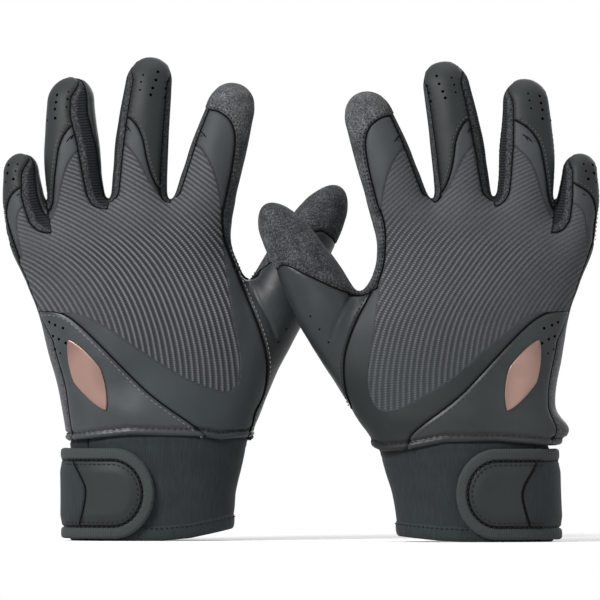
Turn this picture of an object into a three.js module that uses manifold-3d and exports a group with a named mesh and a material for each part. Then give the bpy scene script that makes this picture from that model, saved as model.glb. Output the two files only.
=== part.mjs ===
// A pair of batting gloves in the shape that a hand gives them, standing on their cuffs.
// Units are millimetres. +Z is up, -Y faces the viewer and shows the backs of the hands.
// Every sub-part is built for the left glove, whose thumb points to +X. The right glove is
// the same set of sub-parts mirrored in X, with its own finger and thumb poses.

import * as THREE from "three";
import { mergeVertices } from "three/addons/utils/BufferGeometryUtils.js";
import Module from "manifold-3d";

const wasm = await Module();
wasm.setup();

// Driving dimensions of the pair
const PAIR = {
  spacing: 136.8, // between the two cuffs' middles, across
  stagger: 44, // how far the right glove stands in front of the left one
};

// Cloth and leather, and the clearances between sewn pieces
const CLOTH = {
  wall: 1.5, // leather or knit with its lining
  gap: 0.3, // between two pieces that are sewn together
};

// How finely round forms are cut into facets
const FACETS = { hand: 24, finger: 12, cuff: 32 };

// One oversize for all cutting blocks, and how close two points are to be one
const OVERRUN = 60;
const WELD = 1e-4;

// The hand's tube from the cuff seam to the knuckles: each row is the height above the
// hem, the middle's offset across, half the width, the middle's offset in depth (towards
// the palm) and half the depth. The right hand leans: shift moves its middle across, and
// narrowing is taken off its half width.
const HAND = {
  squareness: 2.35,
  sections: [
    { height: 45.3, across: 4.5, halfWidth: 41.4, depth: 0, halfDepth: 24.5, shift: -9.6, narrowing: 1.2 },
    { height: 72.5, across: 6.1, halfWidth: 47, depth: 0, halfDepth: 23.5, shift: -6.2, narrowing: 0.5 },
    { height: 99, across: 2, halfWidth: 50, depth: -1, halfDepth: 21, shift: -3.8, narrowing: 0.5 },
    { height: 121.5, across: -8, halfWidth: 49.4, depth: -2, halfDepth: 17.5, shift: -4.9, narrowing: 3 },
    { height: 133.2, across: -12.6, halfWidth: 48.6, depth: -3, halfDepth: 15.5, shift: -3, narrowing: 1.2 },
    { height: 136.8, across: -12, halfWidth: 47.4, depth: -3, halfDepth: 15, shift: -2.8, narrowing: 1 },
    { height: 143.6, across: -6, halfWidth: 41, depth: -3, halfDepth: 14, shift: -1.8, narrowing: 0.6 },
    { height: 151.7, across: -4.6, halfWidth: 39.5, depth: -3, halfDepth: 11.5, shift: -1, narrowing: 0.3 },
  ],
  webThickness: 2.5, // of the wall that closes the tube between the fingers
  palmSeamDepth: 5, // where the palm leather meets the back's panels
};

// Seams on the back of the hand, as shares of the hand's widest half width, grown by
// widthShare, and of its length. They lean less than the hand, by turnShift at the cuff.
const SEAMS = {
  widthShare: 1.02,
  turnShift: 2.6,
  // from the little finger's side down to the cuff seam
  heelShares: [
    [-0.95, 0.547], [-0.82, 0.542], [-0.72, 0.526], [-0.63, 0.496], [-0.52, 0.446],
    [-0.29, 0.336], [-0.07, 0.236], [0.21, 0.118], [0.46, 0.037], [0.51, 0],
  ],
  // from the web between index and thumb down to the cuff seam
  thumbShares: [
    [0.8, 0.76], [0.855, 0.69], [0.925, 0.55], [1.005, 0.45], [1.05, 0.37], [1.07, 0.29],
    [1.04, 0.21], [0.99, 0.15], [0.935, 0.1], [0.925, 0.06], [0.875, 0],
  ],
};

// Fingers: base and tip are places on the back view, where the finger leaves the hand and
// where it ends. Half widths and half depths are at the base, in the middle and where the
// tip starts to round off. root is where the finger's tube ends inside the hand. rollAngle
// turns the back panel away from the thumb and tiltAngle leans the finger to the palm's
// side, in degrees. reach is how far past its sides a finger's space goes. seamShares is
// the edge of the tip panel, as shares of the half width and of the length.
const FINGERS = {
  little: {
    base: { left: { across: -54, height: 136.5 }, right: { across: -54.8, height: 136.5 } },
    tip: { left: { across: -58.2, height: 174.6 }, right: { across: -58.2, height: 174.2 } },
    root: {
      left: { across: -43, depth: -2, height: 118 },
      right: { across: -46, depth: -2, height: 118 },
    },
    halfWidths: { base: 9.6, middle: 9.5, tip: 7.8 },
    halfDepths: { base: 9.6, middle: 8.4, tip: 7.2 },
    depth: -3,
    curlDepth: 5,
    tiltAngle: { left: 0, right: 0 },
    rollAngle: -46,
    reach: { low: 8, high: 0.4 },
    seamShares: [[1.6, 0.66], [0.3, 0.64], [-0.3, 0.52], [-0.75, 0.28], [-0.95, 0]],
  },
  ring: {
    base: { left: { across: -32, height: 148.5 }, right: { across: -32.6, height: 148.5 } },
    tip: { left: { across: -35.2, height: 209 }, right: { across: -33, height: 207.6 } },
    root: {
      left: { across: -29, depth: -2, height: 126 },
      right: { across: -31, depth: -2, height: 126 },
    },
    halfWidths: { base: 12.9, middle: 12.6, tip: 10.2 },
    halfDepths: { base: 11.6, middle: 10.2, tip: 8.3 },
    depth: -3,
    curlDepth: 8,
    tiltAngle: { left: 0, right: 0 },
    rollAngle: -36,
    reach: { low: 0.4, high: 0.4 },
    seamShares: [[1.6, 0.68], [0.5, 0.66], [-0.1, 0.58], [-0.55, 0.4], [-0.75, 0.2], [-0.85, 0]],
  },
  middle: {
    base: { left: { across: -4.8, height: 152.1 }, right: { across: -5.8, height: 152.1 } },
    tip: { left: { across: 1.4, height: 217.6 }, right: { across: 4.4, height: 215.2 } },
    root: {
      left: { across: -5, depth: -2, height: 128 },
      right: { across: -7, depth: -2, height: 128 },
    },
    halfWidths: { base: 13, middle: 12.2, tip: 10.5 },
    halfDepths: { base: 12, middle: 10.4, tip: 8.5 },
    depth: -3,
    curlDepth: 8,
    tiltAngle: { left: 0, right: 0 },
    rollAngle: 0,
    reach: { low: 0.4, high: 0.4 },
    seamShares: [[-1.6, 0.61], [-0.5, 0.59], [0, 0.5], [0.25, 0.35], [0.5, 0.15], [0.8, 0]],
  },
  index: {
    base: { left: { across: 23.9, height: 150.3 }, right: { across: 22.6, height: 149.5 } },
    tip: { left: { across: 39.8, height: 205.9 }, right: { across: 40.6, height: 201.4 } },
    root: {
      left: { across: 17, depth: -2, height: 126 },
      right: { across: 13, depth: -2, height: 126 },
    },
    halfWidths: { base: 13.7, middle: 12.7, tip: 10.8 },
    halfDepths: { base: 12, middle: 10.3, tip: 8.4 },
    depth: -3,
    curlDepth: 7,
    tiltAngle: { left: 0, right: 0 },
    rollAngle: 4,
    reach: { low: 0.4, high: 8 },
  },
  thumb: {
    base: { left: { across: 58.6, height: 109.5 }, right: { across: 55, height: 104 } },
    tip: { left: { across: 84, height: 161 }, right: { across: 81.4, height: 152.2 } },
    root: {
      left: { across: 37.3, depth: 2, height: 66.5 },
      right: { across: 32, depth: 2, height: 64 },
    },
    halfWidths: { base: 15, middle: 13.2, tip: 9 },
    halfDepths: { base: 14, middle: 11.5, tip: 9 },
    depth: 2,
    curlDepth: 3,
    tiltAngle: { left: 10, right: 2 },
    rollAngle: 0,
    reach: { low: 0.4, high: 8 },
  },
};

// Shares that shape every finger
const FINGER_FORM = {
  middleShare: 0.45, // where the middle half width applies, of the length
  rootShare: 0.86, // the size at the root against the base
  backBandShare: 0.6, // how far the side wall reaches to the back, of the half depth
  frontBandShare: 0.34, // how far it reaches to the palm, of the half depth
  curlShares: [0, 0.35, 0.7, 1], // where the side wall's edges follow the curl
  tipAngles: [0, 32, 58, 78], // of the rings that round off the tip, in degrees
};

// The wrist cuff: an oval tube of soft knit, its hem and the slit that lets the hand in.
// shift and narrowing lean the right cuff, as on the hand.
const CUFF = {
  height: 45,
  wall: 2,
  sections: [
    { height: 0, across: 1, halfWidth: 36.3, halfDepth: 23, shift: -12, narrowing: 1.7 },
    { height: 20, across: 2, halfWidth: 37, halfDepth: 23.4, shift: -11.2, narrowing: 1.8 },
    { height: 45, across: 4.5, halfWidth: 40, halfDepth: 24, shift: -9.6, narrowing: 1.2 },
  ],
  hemHeight: 7,
  hemThickening: 0.6,
  hemRise: { left: 6.5, right: 3 }, // of the hem towards the thumb's side
  // where the hem's rise starts and how it grows, as shares of the half width and the rise
  hemRiseShares: [[-1.3, 0], [0.15, 0], [0.5, 0.2], [0.8, 0.55], [1.3, 1.2]],
  slitAt: -29,
  slitWidth: 2,
  slitHeight: 36,
};

// The closing strap: a tab hinged at the little finger's side of the cuff
const STRAP = {
  bottom: 1,
  height: 40.8,
  shift: { left: 0, right: -4.2 }, // of the tab and all that is on it
  end: 2.3, // how far across the tab reaches
  roundLength: 19.5, // of the tab's half-oval end
  roundSteps: 7,
  inner: 2.5, // the tab's inner face, outside the cuff
  thickness: 2.2,
  rim: 5.4, // of the bound edge
  patchStart: -31,
  patchThickness: 0.8,
  rootEnd: -8,
  rootMargin: 3,
  padMargin: 5,
  padStart: -25,
  padEnd: -2,
  padThickness: 0.8,
};

// A plain raised lozenge on the heel panel
const EMBLEM = {
  across: -27.5,
  height: 75,
  halfLength: 18,
  halfWidth: 6.5,
  corner: 1.6,
  leanAngle: 28, // degrees away from upright
  thickness: 0.8,
};

// Materials: colour, roughness and metalness of each kind of cloth
const FINISHES = {
  ribbed_knit: { color: 0x4a4b50, roughness: 0.75, metalness: 0 },
  smooth_leather: { color: 0x3d4346, roughness: 0.5, metalness: 0 },
  palm_leather: { color: 0x33383a, roughness: 0.6, metalness: 0 },
  tip_leather: { color: 0x383c3f, roughness: 0.5, metalness: 0 },
  gusset_knit: { color: 0x2f3236, roughness: 0.9, metalness: 0 },
  suede: { color: 0x47494c, roughness: 0.95, metalness: 0 },
  cuff_knit: { color: 0x303538, roughness: 0.85, metalness: 0 },
  binding: { color: 0x3b4144, roughness: 0.8, metalness: 0 },
  strap_leather: { color: 0x35393c, roughness: 0.6, metalness: 0 },
  hook_and_loop: { color: 0x1d1f21, roughness: 0.95, metalness: 0 },
  rose_metal: { color: 0xb08d84, roughness: 0.35, metalness: 0.6 },
};

const radians = THREE.MathUtils.degToRad;

// Solids from three.js geometries, for cutting and joining
function toSolid(geometry) {
  const bare = geometry.clone();
  bare.deleteAttribute("normal");
  bare.deleteAttribute("uv");
  const merged = mergeVertices(bare, WELD);
  return new wasm.Manifold(
    new wasm.Mesh({
      numProp: 3,
      vertProperties: new Float32Array(merged.attributes.position.array),
      triVerts: new Uint32Array(merged.index.array),
    }),
  );
}

// A drawable geometry from a solid, mirrored in X when flipped is true
function toGeometry(solid, flipped) {
  const mesh = solid.getMesh();
  const points = new Float32Array(mesh.numVert * 3);
  for (let i = 0; i < mesh.numVert; i++) {
    points.set(mesh.vertProperties.subarray(i * mesh.numProp, i * mesh.numProp + 3), i * 3);
  }
  const index = Array.from(mesh.triVerts);
  const geometry = new THREE.BufferGeometry();
  geometry.setAttribute("position", new THREE.BufferAttribute(points, 3));
  if (flipped) {
    geometry.scale(-1, 1, 1);
    for (let i = 0; i < index.length; i += 3) {
      [index[i + 1], index[i + 2]] = [index[i + 2], index[i + 1]];
    }
  }
  geometry.setIndex(index);
  geometry.computeVertexNormals();
  return geometry;
}

// One ring of a tube: an oval, squarer as its power grows above 2
function ring(centre, u, v, halfWidth, halfDepth, count, power = 2) {
  const points = [];
  for (let i = 0; i < count; i++) {
    const angle = (i / count) * 2 * Math.PI;
    const cos = Math.cos(angle);
    const sin = Math.sin(angle);
    const across = Math.sign(cos) * Math.abs(cos) ** (2 / power) * halfWidth;
    const deep = Math.sign(sin) * Math.abs(sin) ** (2 / power) * halfDepth;
    points.push(centre.clone().addScaledVector(u, across).addScaledVector(v, deep));
  }
  return points;
}

// A closed solid through rings with equal numbers of points
function loft(rings) {
  const count = rings[0].length;
  const top = (rings.length - 1) * count;
  const index = [];
  for (let r = 0; r + 1 < rings.length; r++) {
    for (let i = 0; i < count; i++) {
      const a = r * count + i;
      const b = r * count + ((i + 1) % count);
      index.push(a, b, a + count, b, b + count, a + count);
    }
  }
  for (let i = 1; i + 1 < count; i++) {
    index.push(0, i + 1, i, top, top + i, top + i + 1);
  }
  const geometry = new THREE.BufferGeometry().setFromPoints(rings.flat());
  geometry.setIndex(index);
  return toSolid(geometry);
}

// A block whose outline is drawn in the back view, running in depth from one Y to another
function prism(outline, from = -OVERRUN, to = OVERRUN) {
  const shape = new THREE.Shape(outline.map(([across, height]) => new THREE.Vector2(across, height)));
  const block = new THREE.ExtrudeGeometry(shape, { depth: to - from, bevelEnabled: false });
  block.rotateX(Math.PI / 2).translate(0, to, 0);
  return toSolid(block);
}

function unite(solids) {
  return solids.reduce((sum, solid) => sum.add(solid));
}

const AXES = { x: new THREE.Vector3(1, 0, 0), y: new THREE.Vector3(0, 1, 0) };

// A row of the hand's or the cuff's table as one glove has it
function leaned(section, side) {
  if (side === "left") return section;
  return {
    ...section,
    across: section.across + section.shift,
    halfWidth: section.halfWidth - section.narrowing,
  };
}

// The hand's tube, grown by offset. Its inside also starts lower and ends lower.
function handTube(side, offset, isInside = false) {
  const sections = HAND.sections.map((s) => ({ ...leaned(s, side) }));
  if (isInside) {
    sections.at(-1).height -= HAND.webThickness;
    sections.unshift({ ...sections[0], height: sections[0].height - OVERRUN });
  }
  return loft(
    sections.map((s) =>
      ring(
        new THREE.Vector3(s.across, s.depth, s.height),
        AXES.x,
        AXES.y,
        s.halfWidth + offset,
        s.halfDepth + offset,
        FACETS.hand,
        HAND.squareness,
      ),
    ),
  );
}

// A finger's own frame: origin at the middle of its base, w along it, u across, v to the palm
function fingerFrame(finger, side) {
  const base = finger.base[side];
  const across = finger.tip[side].across - base.across;
  const up = finger.tip[side].height - base.height;
  const lean = Math.atan2(across, up);
  const tilt = radians(finger.tiltAngle[side]);
  const u = new THREE.Vector3(Math.cos(lean), 0, -Math.sin(lean));
  const w = new THREE.Vector3(
    Math.sin(lean) * Math.cos(tilt),
    Math.sin(tilt),
    Math.cos(lean) * Math.cos(tilt),
  );
  const root = finger.root[side];
  return {
    origin: new THREE.Vector3(base.across, finger.depth, base.height),
    root: new THREE.Vector3(root.across, root.depth, root.height),
    u,
    v: new THREE.Vector3().crossVectors(w, u),
    w,
    length: Math.hypot(across, up) / Math.cos(tilt),
  };
}

// The middle line's shift towards the palm at a distance from the base
function curlAt(finger, frame, along) {
  return finger.curlDepth * Math.max(0, along / frame.length) ** 2;
}

// A finger's half depth at a distance from the base, before the tip rounds off
function depthAt(finger, frame, along) {
  const { base, middle, tip } = finger.halfDepths;
  const middleAt = frame.length * FINGER_FORM.middleShare;
  const tipAt = frame.length - finger.halfWidths.tip;
  if (along < middleAt) return base + ((middle - base) * Math.max(0, along)) / middleAt;
  return middle + (tip - middle) * Math.min(1, (along - middleAt) / (tipAt - middleAt));
}

// A finger's outer form, or its inside when inset is the wall's thickness
function fingerForm(finger, frame, inset = 0) {
  const { halfWidths, halfDepths } = finger;
  const tipWidth = halfWidths.tip - inset;
  const tipDepth = halfDepths.tip - inset;
  const roundStart = frame.length - inset - tipWidth;
  const root = ring(
    frame.root,
    frame.u,
    frame.v,
    (halfWidths.base - inset) * FINGER_FORM.rootShare,
    (halfDepths.base - inset) * FINGER_FORM.rootShare,
    FACETS.finger,
  );
  const rows = [
    [0, halfWidths.base - inset, halfDepths.base - inset],
    [frame.length * FINGER_FORM.middleShare, halfWidths.middle - inset, halfDepths.middle - inset],
  ];
  for (const degrees of FINGER_FORM.tipAngles) {
    const angle = radians(degrees);
    rows.push([
      roundStart + tipWidth * Math.sin(angle),
      tipWidth * Math.cos(angle),
      tipDepth * Math.cos(angle),
    ]);
  }
  const rings = rows.map(([along, halfWidth, halfDepth]) => {
    const centre = frame.origin
      .clone()
      .addScaledVector(frame.w, along)
      .addScaledVector(frame.v, curlAt(finger, frame, along));
    return ring(centre, frame.u, frame.v, halfWidth, halfDepth, FACETS.finger);
  });
  return loft([root, ...rings]);
}

// A block in a finger's frame whose outline is drawn along it (w) and to the palm (v)
function sideBlock(frame, outline, roll) {
  const shape = new THREE.Shape(outline.map(([along, deep]) => new THREE.Vector2(along, deep)));
  const block = new THREE.ExtrudeGeometry(shape, { depth: 2 * OVERRUN, bevelEnabled: false });
  block.translate(0, 0, -OVERRUN);
  const u = frame.u.clone().applyAxisAngle(frame.w, roll);
  const v = frame.v.clone().applyAxisAngle(frame.w, roll);
  const place = new THREE.Matrix4().makeBasis(frame.w, v, u.clone().negate());
  return toSolid(block.applyMatrix4(place.setPosition(frame.origin)));
}

// The space that belongs to a finger: above its base, and as wide as its base
function fingerSpace(finger, frame, growth) {
  const low = finger.halfWidths.base + finger.reach.low + growth;
  const high = finger.halfWidths.base + finger.reach.high + growth;
  const block = new THREE.BoxGeometry(low + high, 2 * OVERRUN, 2 * OVERRUN);
  block.translate((high - low) / 2, 0, OVERRUN - growth);
  const place = new THREE.Matrix4().makeBasis(frame.u, frame.v, frame.w);
  return toSolid(block.applyMatrix4(place.setPosition(frame.origin)));
}

// The panels of a finger: back, side wall and palm side, and the tip panel where it has one
function fingerPanels(finger, side) {
  const frame = fingerFrame(finger, side);
  const stall = fingerForm(finger, frame)
    .subtract(fingerForm(finger, frame, CLOTH.wall))
    .intersect(fingerSpace(finger, frame, 0));
  const roll = radians(finger.rollAngle);
  const steps = [-OVERRUN, ...FINGER_FORM.curlShares.map((share) => share * frame.length)];
  // the side wall's edge towards the back (share below 0) or the palm, moved by a gap
  const line = (share, gap) => {
    const points = steps.map((along) => [
      along,
      share * depthAt(finger, frame, along) + gap + curlAt(finger, frame, along) * Math.cos(roll),
    ]);
    return [...points, [frame.length + OVERRUN, points.at(-1)[1]]];
  };
  const low = -FINGER_FORM.backBandShare;
  const high = FINGER_FORM.frontBandShare;
  const band = sideBlock(frame, [...line(low, 0), ...line(high, 0).reverse()], roll);
  const backSpace = sideBlock(
    frame,
    [...line(low, -CLOTH.gap), [frame.length + OVERRUN, -OVERRUN], [-OVERRUN, -OVERRUN]],
    roll,
  );
  const frontSpace = sideBlock(
    frame,
    [...line(high, CLOTH.gap), [frame.length + OVERRUN, OVERRUN], [-OVERRUN, OVERRUN]],
    roll,
  );
  const panels = {
    back: stall.intersect(backSpace),
    gusset: stall.intersect(band),
    front: stall.intersect(frontSpace),
  };
  if (finger.seamShares) {
    const sideways = Math.sign(finger.seamShares.at(-1)[0]) * OVERRUN;
    const onBack = ([across, along]) =>
      backPoint(frame, across * finger.halfWidths.base, along * frame.length);
    const seam = finger.seamShares.map(onBack);
    const beyond = [
      backPoint(frame, sideways, 0),
      backPoint(frame, sideways, 2 * OVERRUN),
      backPoint(frame, -sideways, 2 * OVERRUN),
      backPoint(frame, -sideways, finger.seamShares[0][1] * frame.length),
    ];
    const tipSpace = prism([...seam, ...beyond]);
    const lowered = seam.map(([across, height]) => [
      across - frame.w.x * CLOTH.gap - Math.sign(sideways) * frame.u.x * CLOTH.gap,
      height - frame.w.z * CLOTH.gap,
    ]);
    const grownSpace = prism([...lowered, ...beyond]);
    panels.tip_panel = panels.back.intersect(tipSpace);
    panels.back = largestBody(panels.back.subtract(tipSpace.add(grownSpace)));
    panels.tip_panel = largestBody(panels.tip_panel);
  }
  return panels;
}

// A point of the back view from a finger's frame
function backPoint(frame, across, along) {
  const point = frame.origin.clone().addScaledVector(frame.u, across).addScaledVector(frame.w, along);
  return [point.x, point.z];
}

// What a cut leaves of a panel is its one large body: the slivers beside it are trimmed off
function largestBody(solid) {
  return solid.decompose().reduce((best, body) => (body.volume() > best.volume() ? body : best));
}

// How far across the right glove's seams lie from the left one's at a height
function seamShift(side, height) {
  if (side === "left") return 0;
  const rows = HAND.sections;
  const above = Math.max(1, rows.findIndex((row) => row.height > height));
  const below = rows[above - 1];
  const share = Math.max(0, (height - below.height) / (rows[above].height - below.height));
  const lean = below.shift + share * (rows[above].shift - below.shift);
  const turn = 1 - (height - CUFF.height) / (rows.at(-1).height - CUFF.height);
  return lean + SEAMS.turnShift * turn;
}

// A point on the back of the hand from its shares of the hand's half width and length
function seamPoint([widthShare, lengthShare], side) {
  const widest = Math.max(...HAND.sections.map((section) => section.halfWidth));
  const height = CUFF.height + lengthShare * (HAND.sections.at(-1).height - CUFF.height);
  return [widthShare * SEAMS.widthShare * widest + seamShift(side, height), height];
}

// The hand's panels: palm, ribbed back, heel (little finger's side) and thumb panel
function handPanels(side) {
  const frames = Object.values(FINGERS).map((finger) => [finger, fingerFrame(finger, side)]);
  const outside = unite([handTube(side, 0), ...frames.map(([finger, frame]) => fingerForm(finger, frame))]);
  const inside = unite([
    handTube(side, -CLOTH.wall, true),
    ...frames.map(([finger, frame]) => fingerForm(finger, frame, CLOTH.wall)),
  ]);
  const spaces = unite(frames.map(([finger, frame]) => fingerSpace(finger, frame, CLOTH.gap)));
  const shell = largestBody(outside.subtract(inside).subtract(spaces));

  const half = CLOTH.gap / 2;
  const backDepth = HAND.palmSeamDepth - half;
  const heelSeam = SEAMS.heelShares.map((shares) => seamPoint(shares, side));
  const thumbSeam = SEAMS.thumbShares.map((shares) => seamPoint(shares, side));
  const bottom = [
    [heelSeam.at(-1)[0], -OVERRUN],
    [-2 * OVERRUN, -OVERRUN],
    [-2 * OVERRUN, heelSeam[0][1]],
  ];
  const heelSpace = (shift) =>
    prism(
      [...heelSeam.map(([across, height]) => [across + shift, height + shift]), ...bottom],
      -OVERRUN,
      backDepth,
    );
  const thumbSpace = (shift) =>
    prism(
      [
        ...thumbSeam.map(([across, height]) => [across - shift, height]),
        [thumbSeam.at(-1)[0] - shift, -OVERRUN],
        [3 * OVERRUN, -OVERRUN],
        [3 * OVERRUN, thumbSeam[0][1]],
      ],
      -OVERRUN,
      backDepth,
    );
  const behind = prism(blockOutline(), HAND.palmSeamDepth + half, 2 * OVERRUN);
  const front = prism(blockOutline(), -2 * OVERRUN, backDepth);
  return {
    palm_panel: largestBody(shell.intersect(behind)),
    heel_panel: largestBody(shell.intersect(heelSpace(0))),
    thumb_panel: largestBody(shell.intersect(thumbSpace(0))),
    back_panel: largestBody(
      shell
        .intersect(front)
        .subtract(heelSpace(CLOTH.gap))
        .subtract(thumbSpace(CLOTH.gap)),
    ),
  };
}

// An outline larger than the whole glove
function blockOutline() {
  const low = -3 * OVERRUN;
  const high = 5 * OVERRUN;
  return [[low, low], [high, low], [high, high], [low, high]];
}

// The cuff's oval tube, grown by offset
function cuffForm(side, offset) {
  const first = CUFF.sections[0];
  const last = CUFF.sections.at(-1);
  const rows = [
    { ...first, height: first.height - OVERRUN },
    ...CUFF.sections,
    { ...last, height: last.height + OVERRUN },
  ].map((section) => leaned(section, side));
  return loft(
    rows.map((s) =>
      ring(
        new THREE.Vector3(s.across, 0, s.height),
        AXES.x,
        AXES.y,
        s.halfWidth + offset,
        s.halfDepth + offset,
        FACETS.cuff,
      ),
    ),
  );
}

function cuffLayer(side, inner, outer) {
  return cuffForm(side, outer).subtract(cuffForm(side, inner));
}

// A line over the hem that rises towards the thumb's side
function hemLine(side, height) {
  const first = leaned(CUFF.sections[0], side);
  const middle = first.across - CUFF.sections[0].across;
  return CUFF.hemRiseShares.map(([widthShare, riseShare]) => [
    middle + widthShare * CUFF.sections[0].halfWidth,
    height + riseShare * CUFF.hemRise[side],
  ]);
}

function rectangle(left, bottom, right, top) {
  return [[left, bottom], [right, bottom], [right, top], [left, top]];
}

// The cuff's band, its hem and the soft half of its closure
function cuffPanels(side) {
  const lower = leaned(CUFF.sections[1], side);
  const slitAt = CUFF.slitAt + lower.across - CUFF.sections[1].across;
  const slit = prism(
    rectangle(slitAt, -OVERRUN, slitAt + CUFF.slitWidth, CUFF.slitHeight),
    -OVERRUN,
    0,
  );
  const hemTop = hemLine(side, CUFF.hemHeight);
  const hemSpace = prism([...hemLine(side, 0), ...hemTop.reverse()]);
  const bandSpace = prism([
    ...hemLine(side, CUFF.hemHeight + CLOTH.gap),
    [OVERRUN, CUFF.height],
    [-OVERRUN, CUFF.height],
  ]);
  const padInner = CLOTH.gap;
  return {
    cuff_band: cuffLayer(side, -CUFF.wall, 0).intersect(bandSpace).subtract(slit),
    cuff_hem: cuffLayer(side, -CUFF.wall, CUFF.hemThickening).intersect(hemSpace).subtract(slit),
    loop_pad: cuffLayer(side, padInner, padInner + STRAP.padThickness).intersect(
      prism(padOutline(side), -OVERRUN, 0),
    ),
    strap_root: strapRoot(side),
  };
}

// The outline that the hook pad and the loop pad share
function padOutline(side) {
  const shift = STRAP.shift[side];
  const top = STRAP.bottom + STRAP.height - STRAP.padMargin;
  return rectangle(STRAP.padStart + shift, CUFF.hemHeight + CLOTH.gap, STRAP.padEnd + shift, top);
}

// The strap's sewn end, which goes round to the palm's side of the cuff
function strapRoot(side) {
  const top = STRAP.bottom + STRAP.height - STRAP.rootMargin;
  const space = prism(
    rectangle(-OVERRUN, CUFF.hemHeight + CLOTH.gap, STRAP.rootEnd + STRAP.shift[side], top),
    CLOTH.gap / 2,
    OVERRUN,
  );
  const outer = STRAP.inner + STRAP.thickness - CLOTH.gap;
  return cuffLayer(side, CLOTH.gap, outer).intersect(space);
}

// The tab's outline: straight from the hinge, then half an oval. inset draws it smaller.
function tabOutline(side, start, inset) {
  const halfHeight = STRAP.height / 2;
  const middle = STRAP.bottom + halfHeight;
  const end = STRAP.end + STRAP.shift[side];
  const outline = [[start, STRAP.bottom + inset]];
  for (let i = 0; i <= STRAP.roundSteps; i++) {
    const angle = -Math.PI / 2 + (i / STRAP.roundSteps) * Math.PI;
    outline.push([
      end - STRAP.roundLength + (STRAP.roundLength - inset) * Math.cos(angle),
      middle + (halfHeight - inset) * Math.sin(angle),
    ]);
  }
  outline.push([start, STRAP.bottom + STRAP.height - inset]);
  return outline;
}

// The tab that opens: its cloth, the leather patch on it and the hook pad under it
function strapPanels(side) {
  const outer = STRAP.inner + STRAP.thickness;
  const inner = STRAP.inner - CLOTH.gap;
  const edge = -CLOTH.gap / 2;
  const patchStart = STRAP.patchStart + STRAP.shift[side];
  return {
    strap_tab: cuffLayer(side, STRAP.inner, outer).intersect(
      prism(tabOutline(side, -OVERRUN, 0), -OVERRUN, edge),
    ),
    strap_patch: cuffLayer(side, outer + CLOTH.gap, outer + CLOTH.gap + STRAP.patchThickness).intersect(
      prism(tabOutline(side, patchStart, STRAP.rim), -OVERRUN, edge),
    ),
    hook_pad: cuffLayer(side, inner - STRAP.padThickness, inner).intersect(
      prism(padOutline(side), -OVERRUN, edge),
    ),
  };
}

// A lozenge with cut corners, raised on the heel panel
function emblem(side) {
  const { halfLength, halfWidth, corner } = EMBLEM;
  const cut = (corner * halfWidth) / halfLength;
  const corners = [
    [cut, halfLength - corner], [halfWidth - cut, corner], [halfWidth - cut, -corner],
    [cut, corner - halfLength], [-cut, corner - halfLength], [cut - halfWidth, -corner],
    [cut - halfWidth, corner], [-cut, halfLength - corner],
  ];
  const lean = radians(EMBLEM.leanAngle);
  const middle = EMBLEM.across + seamShift(side, EMBLEM.height);
  const outline = corners.map(([across, height]) => [
    middle + across * Math.cos(lean) - height * Math.sin(lean),
    EMBLEM.height + across * Math.sin(lean) + height * Math.cos(lean),
  ]);
  return handTube(side, CLOTH.gap + EMBLEM.thickness)
    .subtract(handTube(side, CLOTH.gap))
    .intersect(prism(outline, -OVERRUN, 0));
}

// The finish of each panel
const PANEL_FINISHES = {
  palm_panel: "palm_leather",
  heel_panel: "smooth_leather",
  thumb_panel: "smooth_leather",
  back_panel: "ribbed_knit",
  emblem: "rose_metal",
  cuff_band: "cuff_knit",
  cuff_hem: "binding",
  loop_pad: "hook_and_loop",
  strap_root: "cuff_knit",
  strap_tab: "binding",
  strap_patch: "strap_leather",
  hook_pad: "hook_and_loop",
};

function fingerFinish(name, panel) {
  if (name === "thumb") {
    return { back: "suede", gusset: "suede", front: "palm_leather" }[panel];
  }
  if (name === "index") {
    return { back: "smooth_leather", gusset: "suede", front: "palm_leather" }[panel];
  }
  return {
    back: "ribbed_knit",
    tip_panel: "tip_leather",
    gusset: "gusset_knit",
    front: "palm_leather",
  }[panel];
}

function makeMesh(name, solid, finish, flipped) {
  const material = new THREE.MeshStandardMaterial(FINISHES[finish]);
  const mesh = new THREE.Mesh(toGeometry(solid, flipped), material);
  mesh.name = name;
  return mesh;
}

// One whole glove. side is "left" or "right".
function glove(side) {
  const flipped = side === "right";
  const group = new THREE.Group();
  group.name = `${side}_glove`;
  const panels = {
    ...handPanels(side),
    ...cuffPanels(side),
    ...strapPanels(side),
    emblem: emblem(side),
  };
  for (const [panel, solid] of Object.entries(panels)) {
    group.add(makeMesh(`${side}_${panel}`, solid, PANEL_FINISHES[panel], flipped));
  }
  for (const [name, finger] of Object.entries(FINGERS)) {
    for (const [panel, solid] of Object.entries(fingerPanels(finger, side))) {
      group.add(makeMesh(`${side}_${name}_${panel}`, solid, fingerFinish(name, panel), flipped));
    }
  }
  const sideways = flipped ? 1 : -1;
  group.position.set((sideways * PAIR.spacing) / 2, (-sideways * PAIR.stagger) / 2, 0);
  return group;
}

const pair = new THREE.Group();
pair.name = "batting_gloves";
pair.add(glove("left"), glove("right"));

// The origin is under the middle of the pair's box
pair.updateMatrixWorld(true);
const middle = new THREE.Box3().setFromObject(pair).getCenter(new THREE.Vector3());
for (const each of pair.children) {
  each.position.x -= middle.x;
  each.position.y -= middle.y;
}

export default pair;
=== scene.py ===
import math

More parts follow.
